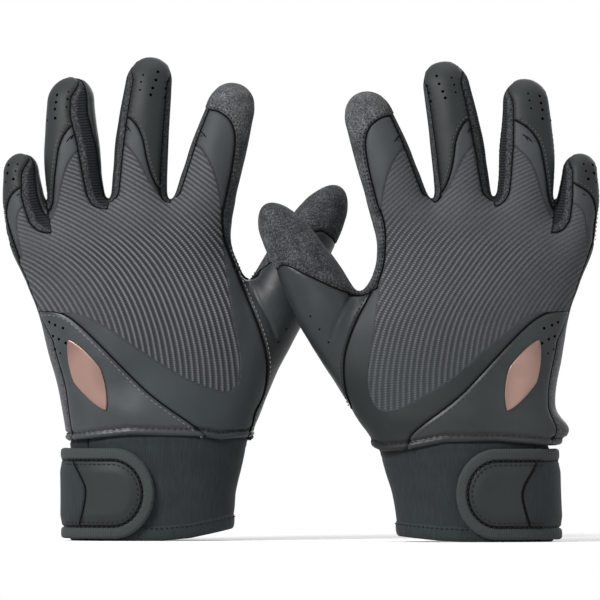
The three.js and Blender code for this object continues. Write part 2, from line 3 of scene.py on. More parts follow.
import bpy
import numpy as np
import openvdb
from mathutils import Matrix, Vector


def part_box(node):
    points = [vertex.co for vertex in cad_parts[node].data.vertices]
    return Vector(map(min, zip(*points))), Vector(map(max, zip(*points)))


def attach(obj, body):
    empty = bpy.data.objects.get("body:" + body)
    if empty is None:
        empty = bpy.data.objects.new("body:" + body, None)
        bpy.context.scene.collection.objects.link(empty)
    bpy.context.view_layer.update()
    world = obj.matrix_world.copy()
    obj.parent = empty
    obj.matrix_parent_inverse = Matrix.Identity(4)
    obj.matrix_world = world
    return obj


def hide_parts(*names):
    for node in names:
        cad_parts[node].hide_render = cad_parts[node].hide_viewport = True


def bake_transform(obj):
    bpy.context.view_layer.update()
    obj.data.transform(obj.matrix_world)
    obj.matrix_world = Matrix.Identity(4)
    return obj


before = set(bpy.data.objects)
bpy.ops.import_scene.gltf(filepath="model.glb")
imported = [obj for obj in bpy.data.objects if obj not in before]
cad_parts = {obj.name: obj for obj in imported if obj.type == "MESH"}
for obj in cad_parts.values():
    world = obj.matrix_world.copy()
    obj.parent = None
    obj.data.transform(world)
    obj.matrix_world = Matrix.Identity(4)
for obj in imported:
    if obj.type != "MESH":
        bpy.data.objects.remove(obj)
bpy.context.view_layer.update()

MM = 0.001
VOXEL = 0.85
SIDES = ("left", "right")

# The photograph's scale and the place of its left glove in it
PIXEL = 0.45
PHOTO_MIDDLE = 300
PHOTO_FLOOR = 541
LEFT_GLOVE_ACROSS = -68.4
CAMERA_ACROSS = -0.229

# Height, middle across, half width, middle in depth and half depth of the hand's tube, then
# how far the right hand's middle leans across and what is taken off its half width
HAND_SECTIONS = np.array([
    [36.0, 4.5, 41.0, 0, 24.3, -10.0, 1.2], [45.3, 4.5, 41.4, 0, 24.5, -9.6, 1.2],
    [72.5, 6.1, 47, 0, 23.5, -6.2, 0.5], [99, 2.0, 50.0, -1, 21, -3.8, 0.5],
    [121.5, -8, 49.4, -2, 17.5, -4.9, 3.0], [133.2, -12.6, 48.6, -3, 15.5, -3.0, 1.2],
    [139, -11.5, 46.0, -3, 14.5, -2.5, 1.0], [146, -5.5, 39.5, -3, 13.0, -1.6, 0.6],
    [151.7, -4.6, 38.5, -3, 11.5, -1.0, 0.3],
])
HAND_TOP = 151
HAND_POWER = 2.3
CUFF_TOP = 45
SEAM_TURN = 2.6
# Where the palm and the back stand out or fall in: middle across and up, reach, height
PALM_BUMPS = [(28, 72, 22, 5), (-24, 66, 20, 3), (0, 100, 18, -2.5), (-4, 128, 30, 1.5)]
BACK_BUMPS = [(-2, 128, 34, 1)]
# A soft bulge on the little finger's side, and the right hand's own above its cuff
SIDE_BULGE = dict(out=1.3, height=86, reach=20)
RIGHT_BULGE = dict(out=7.5, height=50, reach=6.5, depth=-4, depth_reach=11)
# How softly the hand's top, neighbouring fingers, and fingers and hand run together
TOP_BLEND, FINGER_BLEND, HAND_BLEND = 6, 2, 7

# Fingers as in the model: base, tip and root, sizes at base, middle and tip. The back panel
# is turned away from the thumb by the roll, given at ROLL_SHARES of the length. The middle
# line bows sideways, the tip is round at point 1, and skew moves it towards the thumb's side.
ROLL_SHARES = (0, 0.2, 0.5, 0.72, 1)
FINGER_DEFAULTS = dict(depth=-3, tilt=dict(left=0, right=0), skew=0)
FINGERS = {
    "little": dict(base=dict(left=(-54, 136.5), right=(-54.8, 136.5)),
                   tip=dict(left=(-58.2, 174.6), right=(-58.2, 174.2)),
                   root=dict(left=(-43, -2, 118), right=(-46, -2, 118)),
                   widths=(9.6, 9.5, 7.8), depths=(9.6, 8.4, 7.2), curl=5, bow=-0.8,
                   point=1.1,
                   roll=dict(left=(-27, -50, -66, -60, -40), right=(-30, -38, -38, -30, -18))),
    "ring": dict(base=dict(left=(-32, 148.5), right=(-32.6, 148.5)),
                 tip=dict(left=(-35.2, 209), right=(-33, 207.6)),
                 root=dict(left=(-29, -2, 126), right=(-31, -2, 126)),
                 widths=(12.9, 12.6, 10.2), depths=(11.6, 10.2, 8.3), curl=8, bow=-1.5,
                 point=1.05,
                 roll=dict(left=(-27, -34, -46, -64, -58), right=(-14, -18, -22, -20, -12))),
    "middle": dict(base=dict(left=(-4.8, 152.1), right=(-5.8, 152.1)),
                   tip=dict(left=(1.4, 217.6), right=(4.4, 215.2)),
                   root=dict(left=(-5, -2, 128), right=(-7, -2, 128)),
                   widths=(13, 12.2, 10.5), depths=(12, 10.4, 8.5), curl=8, bow=-1.1,
                   point=1.05,
                   roll=dict(left=(0, 2, 3, 3, 3), right=(2, 5, 6, 6, 6))),
    "index": dict(base=dict(left=(23.9, 150.3), right=(22.6, 149.5)),
                  tip=dict(left=(39.8, 205.9), right=(40.6, 201.4)),
                  root=dict(left=(17, -2, 126), right=(13, -2, 126)),
                  widths=(13.7, 12.7, 10.8), depths=(12, 10.3, 8.4), curl=7, bow=-0.3,
                  point=1.15,
                  roll=dict(left=(2, 2, 2, 2, 2), right=(2, 2, 2, 2, 2))),
    "thumb": dict(base=dict(left=(58.6, 109.5), right=(55, 104)),
                  tip=dict(left=(84, 161), right=(81.4, 152.2)),
                  root=dict(left=(37.3, 2, 66.5), right=(32, 2, 64)),
                  widths=(15, 13, 12.1), depths=(14, 12, 11.5), depth=2, curl=3,
                  tilt=dict(left=10, right=2), bow=-0.4, point=2.5, skew=1.9,
                  roll=dict(left=(0, 0, 0, 0, 0), right=(0, 0, 0, 0, 0))),
}
ROOT_SHARE = 0.86
MIDDLE_SHARE = 0.45
TIP_PANEL_FINGERS = ("middle", "ring", "little")
# A field's value where its piece can't reach
FAR_OUTSIDE = -20.0

# Seams read off the photograph, in its pixels, on the left glove
SEAM_PIXELS = {
    "ribs": [(-20, 262), (22, 262), (17.5, 245.5), (14.2, 229), (15, 214), (20, 207), (30, 200),
             (48, 225), (55, 205), (58.5, 190), (62.7, 172), (68.5, 158.6), (79.4, 147),
             (95, 135), (108, 190), (108, 141), (120, 141), (132, 152), (142, 168.6),
             (148.7, 182), (157, 192), (168, 205), (176, 190), (180, 140), (196.3, 145),
             (203, 152), (210.5, 165), (217, 183.7), (220.6, 202), (221.4, 215)],
    "heel": [(-20, 311), (41, 311), (57, 312), (70, 319), (83, 330), (102, 348), (128, 375),
             (153, 399), (200, 431), (206, 439), (212, 470), (-20, 470)],
    "radial": [(221.4, 212), (222, 234), (227, 250.5), (232, 262), (239, 279), (247, 300),
               (257, 325), (266, 353), (267, 375), (264, 396), (253, 414), (253, 423),
               (247, 436), (245, 480), (460, 480), (460, 140), (262, 140), (248, 190),
               (236, 214)],
    "index_suede": [(207, 109), (217, 110), (229, 118.5), (234, 132), (234, 145),
                    (231.4, 168.6), (225.6, 195.4), (221.4, 212), (222, 234), (227, 250.5),
                    (233, 262), (241, 273), (246, 280), (262, 272), (270, 90), (232, 50),
                    (190, 70), (200, 104)],
    "middle_tip": [(105, 112), (124, 115), (134, 122), (142, 138), (145, 158), (150, 175),
                   (158, 191), (185, 215), (200, 100), (150, 30), (105, 50)],
    "ring_tip": [(95, 112), (72.7, 122), (61.8, 133.5), (56.8, 145), (54.3, 162),
                 (51.8, 187), (50.5, 212), (20, 230), (20, 60), (70, 50), (110, 60)],
    "little_tip": [(34, 178), (18.4, 187), (8.4, 193.7), (4.2, 205), (3.3, 217),
                   (10, 237), (16.7, 255.5), (20, 268), (-30, 268), (-30, 140), (40, 130)],
}
# The ribs' lower edge on each glove, and the right glove's own seams next to the thumb
RIB_LOWER_PIXELS = {
    "left": [(224, 257), (228, 283), (231, 315), (238, 347), (240, 372), (235, 390), (225, 394),
             (200, 386), (178, 376), (140, 352), (108, 329), (83, 316), (61, 312), (-20, 316)],
    "right": [(225, 257), (226.8, 280), (228.8, 308), (230.7, 330), (235.5, 352), (241, 377),
              (240.3, 397), (234.7, 409), (223.8, 412), (209.7, 409), (189, 398), (168.5, 387),
              (148, 373), (124.4, 352), (100.9, 334), (83, 319.5), (72.8, 314.7), (61, 311),
              (-20, 316)],
}
RIGHT_SEAM_PIXELS = {
    "radial": [(219.4, 212), (218.4, 237), (222.2, 261), (227.8, 276), (232.8, 286),
               (244.1, 310.3), (255.7, 336.8), (262, 353), (264.5, 369), (265, 388), (261, 407),
               (255, 424), (249.4, 439), (247, 480), (460, 480), (460, 140), (262, 140),
               (248, 190), (236, 214)],
    "index_suede": [(207, 109), (217, 110), (229, 118.5), (234, 132), (234, 145),
                    (231.4, 168.6), (225.6, 195.4), (223.5, 208), (219.4, 218), (218.4, 237),
                    (222.2, 261), (227.8, 276), (230.9, 286), (237.8, 293.3), (247.2, 295.6),
                    (262, 292), (270, 90), (232, 50), (190, 70), (200, 104)],
}
# A sewn patch and folds on the palm, in the left glove's millimetres
PALM_PATCH = [(-35, 53), (-37, 72), (-33, 92), (-20, 101), (-4, 96), (6, 82), (17, 70), (33, 63),
              (36, 53)]
PALM_FOLDS = [[(-38, 124), (-16, 115), (6, 117), (24, 126)],
              [(30, 106), (16, 98), (10, 84), (13, 70)]]
THUMB_SUEDE = {
    "left": [(-30, 0), (-16.9, 1.5), (-9.9, 12.4), (-5, 22), (0, 31), (3, 35), (12, 34.1),
             (30, 34)],
    "right": [(-30, -3), (-15.1, -1), (-9.3, 4.4), (-3.7, 11.8), (1.9, 19.3), (5.5, 25.1),
              (7.9, 27.7), (11.9, 27.6), (30, 27)],
}
THUMB_FOLD_PIXELS = [(249, 284), (256, 299), (264, 313), (270, 326), (274, 338)]
THUMB_FOLD_DEPTH, THUMB_FOLD_FADE = 0.4, (56, 62)
HOLE_PIXELS = {
    "large": [(156, 72), (154, 80), (151, 88), (149, 95), (56, 95), (55, 102), (54, 109),
              (54, 118), (7, 165), (6, 173), (12, 179), (48, 322), (54, 325), (62, 328),
              (52, 336), (58, 339), (65, 343)],
    "small": [(142, 75), (140, 82), (139, 90), (166, 81), (164, 88), (163, 97), (67, 92),
              (66, 99), (65, 107), (46, 120), (4, 182), (16, 164), (14, 171), (54, 349),
              (60, 353), (294, 316), (285, 329), (277, 342)],
}
DART_PIXELS = [
    [(123.2, 124.6), (126, 126.4), (129.4, 131.4)], [(124, 130.2), (126.4, 129.2)],
    [(65, 141.4), (69, 136.5), (74.6, 133.3)], [(69.4, 139.4), (71.4, 135.6)],
    [(199.2, 131.2), (202, 133.2), (205, 137.4)], [(199.8, 136.4), (202, 135)],
    [(14.6, 195.5), (17.6, 193.4)],
]
RIB_CENTRE_PIXEL = (-41, 370)
# Soft puffs of the leather and textile: middle in pixels, reach across and up, height in mm
PUFFS = [
    ((146, 414), (19, 9), 1.9), ((118, 352), (14, 10), 0.8), ((160, 392), (16, 7), 0.6),
    ((205, 420), (14, 5), 0.8), ((251, 378), (5, 16), 0.5), ((268, 300), (9, 14), 0.35),
    ((80, 420), (10, 12), 0.7), ((146, 95), (4, 16), 0.4), ((212, 160), (5, 14), 0.5),
]
EMBLEM_PIXEL = (87, 375)

# The hand's lower edge: places across and heights above the floor
HAND_EDGE = {
    "left": [(-36, 45.0), (-26, 45.9), (-9, 47.6), (23, 47.0), (32, 45.6), (45, 46.6)],
    "right": [(-45, 43.0), (-21, 44.7), (3, 44.6), (22, 41.0), (31, 40.4), (35, 42.0)],
}

# Where the palm's leather meets the back, by height: depth on the little finger's side
PALM_SEAM = np.array([[40, -11], [90, -10], [104, -4], [120, -6], [136, -8], [160, -6]])
RADIAL_SEAM_DEPTH = 4


def photo_to_glove(points):
    """Places of the photograph's left glove, in the left glove's own millimetres."""
    pixels = np.asarray(points, float).reshape(-1, 2)
    across = (pixels[:, 0] - PHOTO_MIDDLE) * PIXEL - LEFT_GLOVE_ACROSS
    return np.stack([across, (PHOTO_FLOOR - pixels[:, 1]) * PIXEL], 1)


# Distances


def smooth_table(knots, values, width):
    """A smooth function through a table, as a callable."""
    fine = np.arange(knots[0] - 30, knots[-1] + 30, 0.5)
    line = np.interp(fine, knots, values)
    reach = int(width * 6)
    kernel = np.exp(-0.5 * (np.arange(-reach, reach + 1) * 0.5 / width) ** 2)
    padded = np.pad(line, reach, mode="edge")
    line = np.convolve(padded, kernel / kernel.sum(), mode="valid")
    return lambda t: np.interp(t, fine, line)


HAND = [smooth_table(HAND_SECTIONS[:, 0], HAND_SECTIONS[:, k], 4.0) for k in range(1, 7)]


def hand_form(side, z):
    """Middle across, half width, middle in depth and half depth of one hand at a height."""
    across, half_width, depth, half_depth, shift, narrowing = (f(z) for f in HAND)
    if side == "right":
        return across + shift, half_width - narrowing, depth, half_depth
    return across, half_width, depth, half_depth


def drawn_shift(side, z):
    """How far across the right glove's seams lie from the left one's at a height."""
    if side == "left":
        return 0 * z
    turn = np.clip((HAND_TOP - z) / (HAND_TOP - CUFF_TOP), 0, 1)
    return HAND[4](z) + SEAM_TURN * turn


def unit(vectors):
    """The same directions at length 1."""
    return vectors / (np.linalg.norm(vectors, axis=-1, keepdims=True) + 1e-9)


def smooth_min(a, b, blend):
    """The lesser of two distances, with a rounded change from one to the other."""
    h = np.maximum(blend - np.abs(a - b), 0) / blend
    return np.minimum(a, b) - h * h * blend / 4


def bumps(x, z, table):
    """The sum of round bumps at a place."""
    return sum(height * np.exp(-((x - across) ** 2 + (z - up) ** 2) / reach ** 2)
               for across, up, reach, height in table)


def bell(x, middle, reach):
    """1 at the middle, falling softly to 0."""
    return np.exp(-((x - middle) / reach) ** 2)


def rounding(edge, reach):
    """How far a rounded edge falls away, from 1 at the edge to 0."""
    corner = np.clip(edge / reach, 0, 1)
    return 1 - np.sqrt(np.maximum(1 - (1 - corner) ** 2, 0))


def hand_distance(side, x, y, z):
    across, half_width, depth, half_depth = hand_form(side, z)
    x0 = x - across + HAND[0](z)
    palm = half_depth + bumps(x0, z, PALM_BUMPS)
    back = half_depth + bumps(x0, z, BACK_BUMPS)
    bulge = SIDE_BULGE["out"] * bell(z, SIDE_BULGE["height"], SIDE_BULGE["reach"])
    if side == "right":
        own = RIGHT_BULGE
        bulge = bulge + (own["out"] * bell(z, own["height"], own["reach"])
                         * bell(y, own["depth"], own["depth_reach"]))
    half_width = half_width + bulge * (x < across)
    deep = np.where(y > depth, palm, back)
    dx = (x - across) / half_width
    dy = (y - depth) / deep
    p = HAND_POWER
    ax, ay = np.abs(dx) + 1e-4, np.abs(dy) + 1e-4
    g = (ax ** p + ay ** p) ** (1 / p)
    slope = g ** (1 - p) * np.sqrt((ax ** (p - 1) / half_width) ** 2 + (ay ** (p - 1) / deep) ** 2)
    edge = (g - 1) / np.maximum(slope, 0.012)
    return -smooth_min(-edge, HAND_TOP - z, TOP_BLEND)


class Finger:
    """A finger's own frame and sizes on one glove."""

    def __init__(self, name, side):
        data = {**FINGER_DEFAULTS, **FINGERS[name]}
        base, tip = (np.array(data[key][side], float) for key in ("base", "tip"))
        lean = math.atan2(tip[0] - base[0], tip[1] - base[1])
        tilt = math.radians(data["tilt"][side])
        self.name = name
        self.length = np.hypot(*(tip - base)) / math.cos(tilt)
        self.origin = np.array([base[0], data["depth"], base[1]])
        self.u = np.array([math.cos(lean), 0, -math.sin(lean)])
        self.w = np.array([math.sin(lean) * math.cos(tilt), math.sin(tilt),
                           math.cos(lean) * math.cos(tilt)])
        self.v = np.cross(self.w, self.u)
        self.curl = data["curl"]
        self.round_length = data["widths"][2] * data["point"]
        self.round_start = self.length - self.round_length
        self.bow, self.skew = data["bow"], data["skew"]
        root = np.array(data["root"][side], float) - self.origin
        self.root = np.array([root @ self.u, root @ self.v, root @ self.w])
        middle = min(MIDDLE_SHARE * self.length, self.round_start - 2)
        knots = [self.root[2], 0, middle, self.round_start, self.length]
        sizes = data["widths"], data["depths"]
        self.width, self.deep = (
            smooth_table(knots, [s[0] * ROOT_SHARE, s[0], s[1], s[2], s[2]], 2.5) for s in sizes)
        self.roll = data["roll"][side]
        # the same place on the left glove, for what is drawn on that one
        left_base, left_tip = (np.array(data[key]["left"], float) for key in ("base", "tip"))
        left_lean = math.atan2(*(left_tip - left_base))
        self.left_base = left_base
        self.left_u = np.array([math.cos(left_lean), -math.sin(left_lean)])
        self.left_w = np.array([math.sin(left_lean), math.cos(left_lean)])
        self.left_stretch = np.hypot(*(left_tip - left_base)) / (self.length * math.cos(tilt))
        self.seen = math.cos(tilt)

    def coordinates(self, x, y, z):
        """Across, towards the palm (from the curled middle line) and along."""
        rx, ry, rz = x - self.origin[0], y - self.origin[1], z - self.origin[2]
        a = rx * self.u[0] + ry * self.u[1] + rz * self.u[2]
        b = rx * self.v[0] + ry * self.v[1] + rz * self.v[2]
        t = rx * self.w[0] + ry * self.w[1] + rz * self.w[2]
        return a, b - self.curl * (np.clip(t, 0, None) / self.length) ** 2, t

    def distance(self, x, y, z):
        a, b, t = self.coordinates(x, y, z)
        down = np.clip(t / self.root[2], 0, 1)
        share = np.clip(t / self.length, 0, 1)
        a = a - self.root[0] * down - self.bow * 4 * share * (1 - share)
        a = a - self.skew * smooth_step(t, self.round_start - 8, self.length)
        b = b - self.root[1] * down
        width, deep = self.width(t), self.deep(t)
        past = np.maximum(t - self.round_start, 0) / self.round_length
        below = np.maximum(self.root[2] - t, 0) / width
        end = past + below
        g = np.sqrt((a / width) ** 2 + (b / deep) ** 2 + end ** 2) + 1e-6
        slope = np.sqrt((a / width ** 2) ** 2 + (b / deep ** 2) ** 2 + (end / width) ** 2) / g
        return (g - 1) / np.maximum(slope, 0.03)

    def rolled_depth(self, a, b, t):
        """Depth towards the palm once the finger's turn about itself is undone."""
        roll = np.radians(np.interp(t / self.length, ROLL_SHARES, self.roll))
        return b * np.cos(roll) - a * np.sin(roll)


class Glove:
    """One glove's shape, as a left glove."""

    def __init__(self, side):
        self.side = side
        self.fingers = [Finger(name, side) for name in FINGERS]
        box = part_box(f"{side}_cuff_band")
        low, high = np.array(box[0]) / MM, np.array(box[1]) / MM
        across, half_width = cuff_form(side, CUFF_TOP)[:2]
        reach = across + half_width
        self.across = high[0] - reach if side == "left" else low[0] + reach
        self.depth = (low[1] + high[1]) / 2
        self.flip = -1 if side == "right" else 1

    def distance(self, x, y, z):
        together = self.fingers[0].distance(x, y, z)
        for finger in self.fingers[1:]:
            together = smooth_min(together, finger.distance(x, y, z), FINGER_BLEND)
        return smooth_min(hand_distance(self.side, x, y, z), together, HAND_BLEND)

    def at(self, points):
        return self.distance(*points.T)

    def normals(self, points, step=0.3):
        normals = np.zeros_like(points)
        for axis in range(3):
            shift = np.zeros(3)
            shift[axis] = step
            normals[:, axis] = self.at(points + shift) - self.at(points - shift)
        return unit(normals)

    def outline(self, name):
        """A seam's outline as drawn on this glove."""
        return OUTLINES.get(f"{self.side}_{name}", OUTLINES.get(name))

    def settle(self, points, rounds=2):
        """Points moved onto the surface."""
        for _ in range(rounds):
            points = points - self.normals(points) * self.at(points)[:, None]
        return points

    def to_world(self, points):
        world = points * [self.flip, 1, 1] + [self.across, self.depth, 0]
        return world * MM

    def nearest(self, points):
        """Which finger is nearest to each point, and each finger's distance."""
        distances = np.stack([f.distance(*points.T) for f in self.fingers])
        return distances.argmin(0), distances

    def drawn(self, points):
        """Each point's place on the left glove as the photograph shows it."""
        place = points[:, [0, 2]].copy()
        if self.side == "left":
            return place
        place[:, 0] -= drawn_shift(self.side, place[:, 1])
        nearest, _ = self.nearest(points)
        for k, finger in enumerate(self.fingers):
            a, _, t = finger.coordinates(*points.T)
            along = (t * finger.seen * finger.left_stretch)[:, None] * finger.left_w
            moved = finger.left_base + a[:, None] * finger.left_u + along
            share = np.clip(t / 8, 0, 1)[:, None] * (nearest == k)[:, None]
            place = place * (1 - share) + moved * share
        return place


# Sheets


class Sheet:
    """Triangles with named values at their points, in one glove's millimetres."""

    def __init__(self, points, triangles, values=None):
        self.points = points
        self.triangles = triangles
        self.values = values or {}

    def compact(self):
        used = np.unique(self.triangles)
        lookup = np.full(len(self.points), -1)
        lookup[used] = np.arange(len(used))
        values = {key: value[used] for key, value in self.values.items()}
        return Sheet(self.points[used], lookup[self.triangles], values)

    def turned(self):
        """The same sheet with its faces turned round."""
        self.triangles = self.triangles[:, ::-1].copy()
        return self

    def faces(self):
        """The triangles' corners and their directions outwards."""
        a, b, c = (self.points[self.triangles[:, k]] for k in range(3))
        return a, b, c, np.cross(b - a, c - a)

    def normals(self):
        face = self.faces()[3]
        normals = np.zeros_like(self.points)
        for k in range(3):
            np.add.at(normals, self.triangles[:, k], face)
        return unit(normals)

    def edges(self):
        return np.vstack([self.triangles[:, pair] for pair in ([0, 1], [1, 2], [2, 0])])

    def edge_walls(self, depth):
        """Adds a wall of that depth, inwards, along every open edge."""
        edges = self.edges()
        _, first, count = np.unique(np.sort(edges, 1), axis=0, return_index=True,
                                    return_counts=True)
        open_edges = edges[first[count == 1]]
        ring = np.unique(open_edges)
        lookup = np.full(len(self.points), -1)
        lookup[ring] = len(self.points) + np.arange(len(ring))
        inward = self.points[ring] - self.normals()[ring] * depth
        a, b = open_edges.T
        walls = np.vstack([np.stack([b, a, lookup[a]], 1), np.stack([b, lookup[a], lookup[b]], 1)])
        self.points = np.vstack([self.points, inward])
        self.triangles = np.vstack([self.triangles, walls])
        self.values = {key: np.concatenate([value, value[ring]])
                       for key, value in self.values.items()}
        return self


def cut(sheet, field):
    """The parts of a sheet where the field is above 0 and where it isn't, and the line
    between them as pairs of points."""
    inside = field > 0
    marks = inside[sheet.triangles]
    count = marks.sum(1)
    mixed = (count == 1) | (count == 2)
    triangles, flags = sheet.triangles[mixed], marks[mixed]
    lone_inside = flags.sum(1) == 1
    lone = np.where(lone_inside[:, None], flags, ~flags).argmax(1)
    row = np.arange(len(triangles))
    a, b, c = (triangles[row, (lone + k) % 3] for k in range(3))
    ends = np.sort(np.vstack([np.stack([a, b], 1), np.stack([a, c], 1)]), 1)
    unique, where = np.unique(ends, axis=0, return_inverse=True)
    where = where.reshape(-1)
    p, q = unique.T
    share = field[p] / (field[p] - field[q])

    def extended(value):
        weight = share.reshape((-1,) + (1,) * (value.ndim - 1))
        return np.concatenate([value, value[p] * (1 - weight) + value[q] * weight])

    start = len(sheet.points)
    ab, ac = start + where[:len(a)], start + where[len(a):]
    points = extended(sheet.points)
    values = {key: extended(value) for key, value in sheet.values.items()}
    small = np.stack([a, ab, ac], 1)
    large = np.vstack([np.stack([ab, b, c], 1), np.stack([ab, c, ac], 1)])
    twice = np.concatenate([lone_inside, lone_inside])
    above = np.vstack([sheet.triangles[count == 3], small[lone_inside], large[~twice]])
    below = np.vstack([sheet.triangles[count == 0], small[~lone_inside], large[twice]])
    line = points[np.stack([ab, ac], 1)] if len(a) else np.zeros((0, 2, 3))
    return Sheet(points, above, values).compact(), Sheet(points, below, values).compact(), line


def subdivide(sheet):
    """Each triangle as four."""
    triangles = sheet.triangles
    unique, where = np.unique(np.sort(sheet.edges(), 1), axis=0, return_inverse=True)
    where = where.reshape(-1)
    count, start = len(triangles), len(sheet.points)
    ab, bc, ca = (start + where[k * count:(k + 1) * count] for k in range(3))
    a, b, c = triangles.T
    parts = (a, ab, ca), (ab, b, bc), (ca, bc, c), (ab, bc, ca)
    new = np.vstack([np.stack(part, 1) for part in parts])
    values = {key: np.concatenate([value, value[unique].mean(1)])
              for key, value in sheet.values.items()}
    points = np.concatenate([sheet.points, sheet.points[unique].mean(1)])
    return Sheet(points, new, values)


def join(sheets):
    """Several sheets as one, with the values that all of them have."""
    sheets = [s for s in sheets if len(s.points)]
    shared = set.intersection(*(set(s.values) for s in sheets))
    start = np.cumsum([0] + [len(s.points) for s in sheets])
    return Sheet(
        np.vstack([s.points for s in sheets]),
        np.vstack([s.triangles + start[k] for k, s in enumerate(sheets)]),
        {key: np.concatenate([s.values[key] for s in sheets]) for key in shared})


def lines_of(pairs, tolerance=0.02, shortest=6.0):
    """Pairs of points chained into lines."""
    if not len(pairs):
        return []
    keys = np.round(pairs.reshape(-1, 3) / tolerance).astype(int)
    _, index, where = np.unique(keys, axis=0, return_index=True, return_inverse=True)
    places = pairs.reshape(-1, 3)[index]
    where = where.reshape(-1, 2)
    beside = {}
    for a, b in where:
        if a != b:
            beside.setdefault(int(a), set()).add(int(b))
            beside.setdefault(int(b), set()).add(int(a))
    lines = []
    ends = [k for k in sorted(beside) if len(beside[k]) == 1]
    for first in ends + sorted(beside):
        if not beside.get(first):
            continue
        chain = [first]
        while beside.get(chain[-1]):
            following = min(beside[chain[-1]])
            beside[chain[-1]].discard(following)
            beside[following].discard(chain[-1])
            chain.append(following)
        line = places[chain]
        if np.linalg.norm(np.diff(line, axis=0), axis=1).sum() > shortest:
            lines.append(line)
    return lines


def resample(line, step, smoothing=3):
    """A line with even steps, its corners smoothed."""
    gaps = np.linalg.norm(np.diff(line, axis=0), axis=1)
    line = line[np.concatenate([[True], gaps > 1e-6])]
    gaps = np.linalg.norm(np.diff(line, axis=0), axis=1)
    length = np.concatenate([[0], np.cumsum(gaps)])
    count = max(int(length[-1] / step), 2)
    even = np.linspace(0, length[-1], count + 1)
    line = np.stack([np.interp(even, length, line[:, k]) for k in range(3)], 1)
    for _ in range(smoothing):
        line[1:-1] = (line[:-2] + 2 * line[1:-1] + line[2:]) / 4
    return line


# Fields


def squared_distance(x, z, dx, dz):
    """Squared distance from places to a straight stretch that starts at 0."""
    share = np.clip((x * dx + z * dz) / (dx * dx + dz * dz), 0, 1)
    return (x - share * dx) ** 2 + (z - share * dz) ** 2


def polygon_field(polygon, places):
    """Distance to a closed outline, positive inside."""
    nearest = np.full(len(places), np.inf)
    inside = np.zeros(len(places), bool)
    x, z = places.T
    for (x0, z0), (x1, z1) in zip(polygon, np.roll(polygon, -1, axis=0)):
        dx, dz = x1 - x0, z1 - z0
        nearest = np.minimum(nearest, squared_distance(x - x0, z - z0, dx, dz))
        crosses = (z0 > z) != (z1 > z)
        inside ^= crosses & (x < x0 + (z - z0) * dx / (dz if dz else 1e-9))
    return np.sqrt(nearest) * np.where(inside, 1, -1)


def line_distance(line, places):
    """Distance to an open line."""
    nearest = np.full(len(places), np.inf)
    x, z = places.T
    for (x0, z0), (x1, z1) in zip(line[:-1], line[1:]):
        nearest = np.minimum(nearest, squared_distance(x - x0, z - z0, x1 - x0, z1 - z0))
    return np.sqrt(nearest)


def smooth_step(x, low, high):
    share = np.clip((x - low) / (high - low), 0, 1)
    return share * share * (3 - 2 * share)


LATTICE = np.random.RandomState(7).rand(24, 24, 24)


def noise(points, size, seed=0):
    """Smooth noise from -1 to 1 with bumps of about that size."""
    places = points / size + seed * 7.31
    cell = np.floor(places).astype(int)
    share = places - cell
    share = share * share * (3 - 2 * share)
    total = 0
    for corner in np.ndindex(2, 2, 2):
        index = (cell + corner) % len(LATTICE)
        weight = np.prod(np.where(corner, share, 1 - share), axis=1)
        total = total + weight * LATTICE[index[:, 0], index[:, 1], index[:, 2]]
    return total * 2 - 1


def smooth_outline(points, rounds=2, closed=True):
    """Corners of an outline cut back, so that it runs in curves."""
    points = np.asarray(points, float)
    for _ in range(rounds):
        after = np.roll(points, -1, axis=0)
        cut_points = np.stack([points * 0.75 + after * 0.25, points * 0.25 + after * 0.75], 1)
        if closed:
            points = cut_points.reshape(-1, 2)
        else:
            points = np.vstack([points[:1], cut_points[:-1].reshape(-1, 2), points[-1:]])
    return points


OUTLINES = {name: smooth_outline(photo_to_glove(p)) for name, p in SEAM_PIXELS.items()
            if name != "ribs"}
for side, lower in RIB_LOWER_PIXELS.items():
    OUTLINES[f"{side}_ribs"] = smooth_outline(photo_to_glove(SEAM_PIXELS["ribs"] + lower))
for name, pixels in RIGHT_SEAM_PIXELS.items():
    OUTLINES[f"right_{name}"] = smooth_outline(photo_to_glove(pixels))
PALM_OUTLINE = smooth_outline(np.array(PALM_PATCH, float))
THUMB_FOLD = smooth_outline(photo_to_glove(THUMB_FOLD_PIXELS), closed=False)
RIB_CENTRE = photo_to_glove([RIB_CENTRE_PIXEL])[0]
# The ribs' pitch in mm and where their count starts, how much closer they get for each radian
# upwards round their centre, and how strongly they stand out
RIB_PITCH, RIB_START = 2.62, 60
RIB_NARROWING = {"left": 0.22, "right": 0.42}
RIB_STRENGTH = {"left": 1.0, "right": 0.55}
# Above this level the ribs crowd together, by this many more ribs to the mm of height
RIB_CROWDING, CROWDED_FROM = {"left": 0.09, "right": 0.025}, 130
CROWDING_SOFTNESS = 4
# How far the ribs wander over what size, how much their level leans across the hand, between
# which levels they turn fine, and how far from their centre they have their full height
RIB_WANDER, RIB_WANDER_SIZE = 0.12, 9
RIB_LEAN = 0.2
FINE_RIBS = (132, 147)
FULL_RIBS_FROM = 86
RIB_SEAM_FROM = 134
# The side walls' edges, as shares of the finger's half depth from its middle
BACK_BAND_SHARES = {"little": 0.6, "ring": 0.6, "middle": 0.68, "index": 0.5, "thumb": 0.6}
FRONT_BAND_SHARE = 0.34
# Where the palm's seam crosses from one side to the other, from the hand's middle, and the
# index finger's side wall where it runs down on the hand
PALM_SEAM_TURN = (-12, 18)
WALL_FOOT = dict(width=7.0, across=(14, 30), up=(114, 120))
# Along a finger, where its own side wall starts, and how far the back wraps over its tip
WALL_START, TIP_WRAP = (-5, 3), 1.15
# Where the thumb has no side wall: how near to it, how far across, and below which height
BARE_NEAR, BARE_ACROSS, BARE_BELOW = (-6, 0), (10, 20), 150


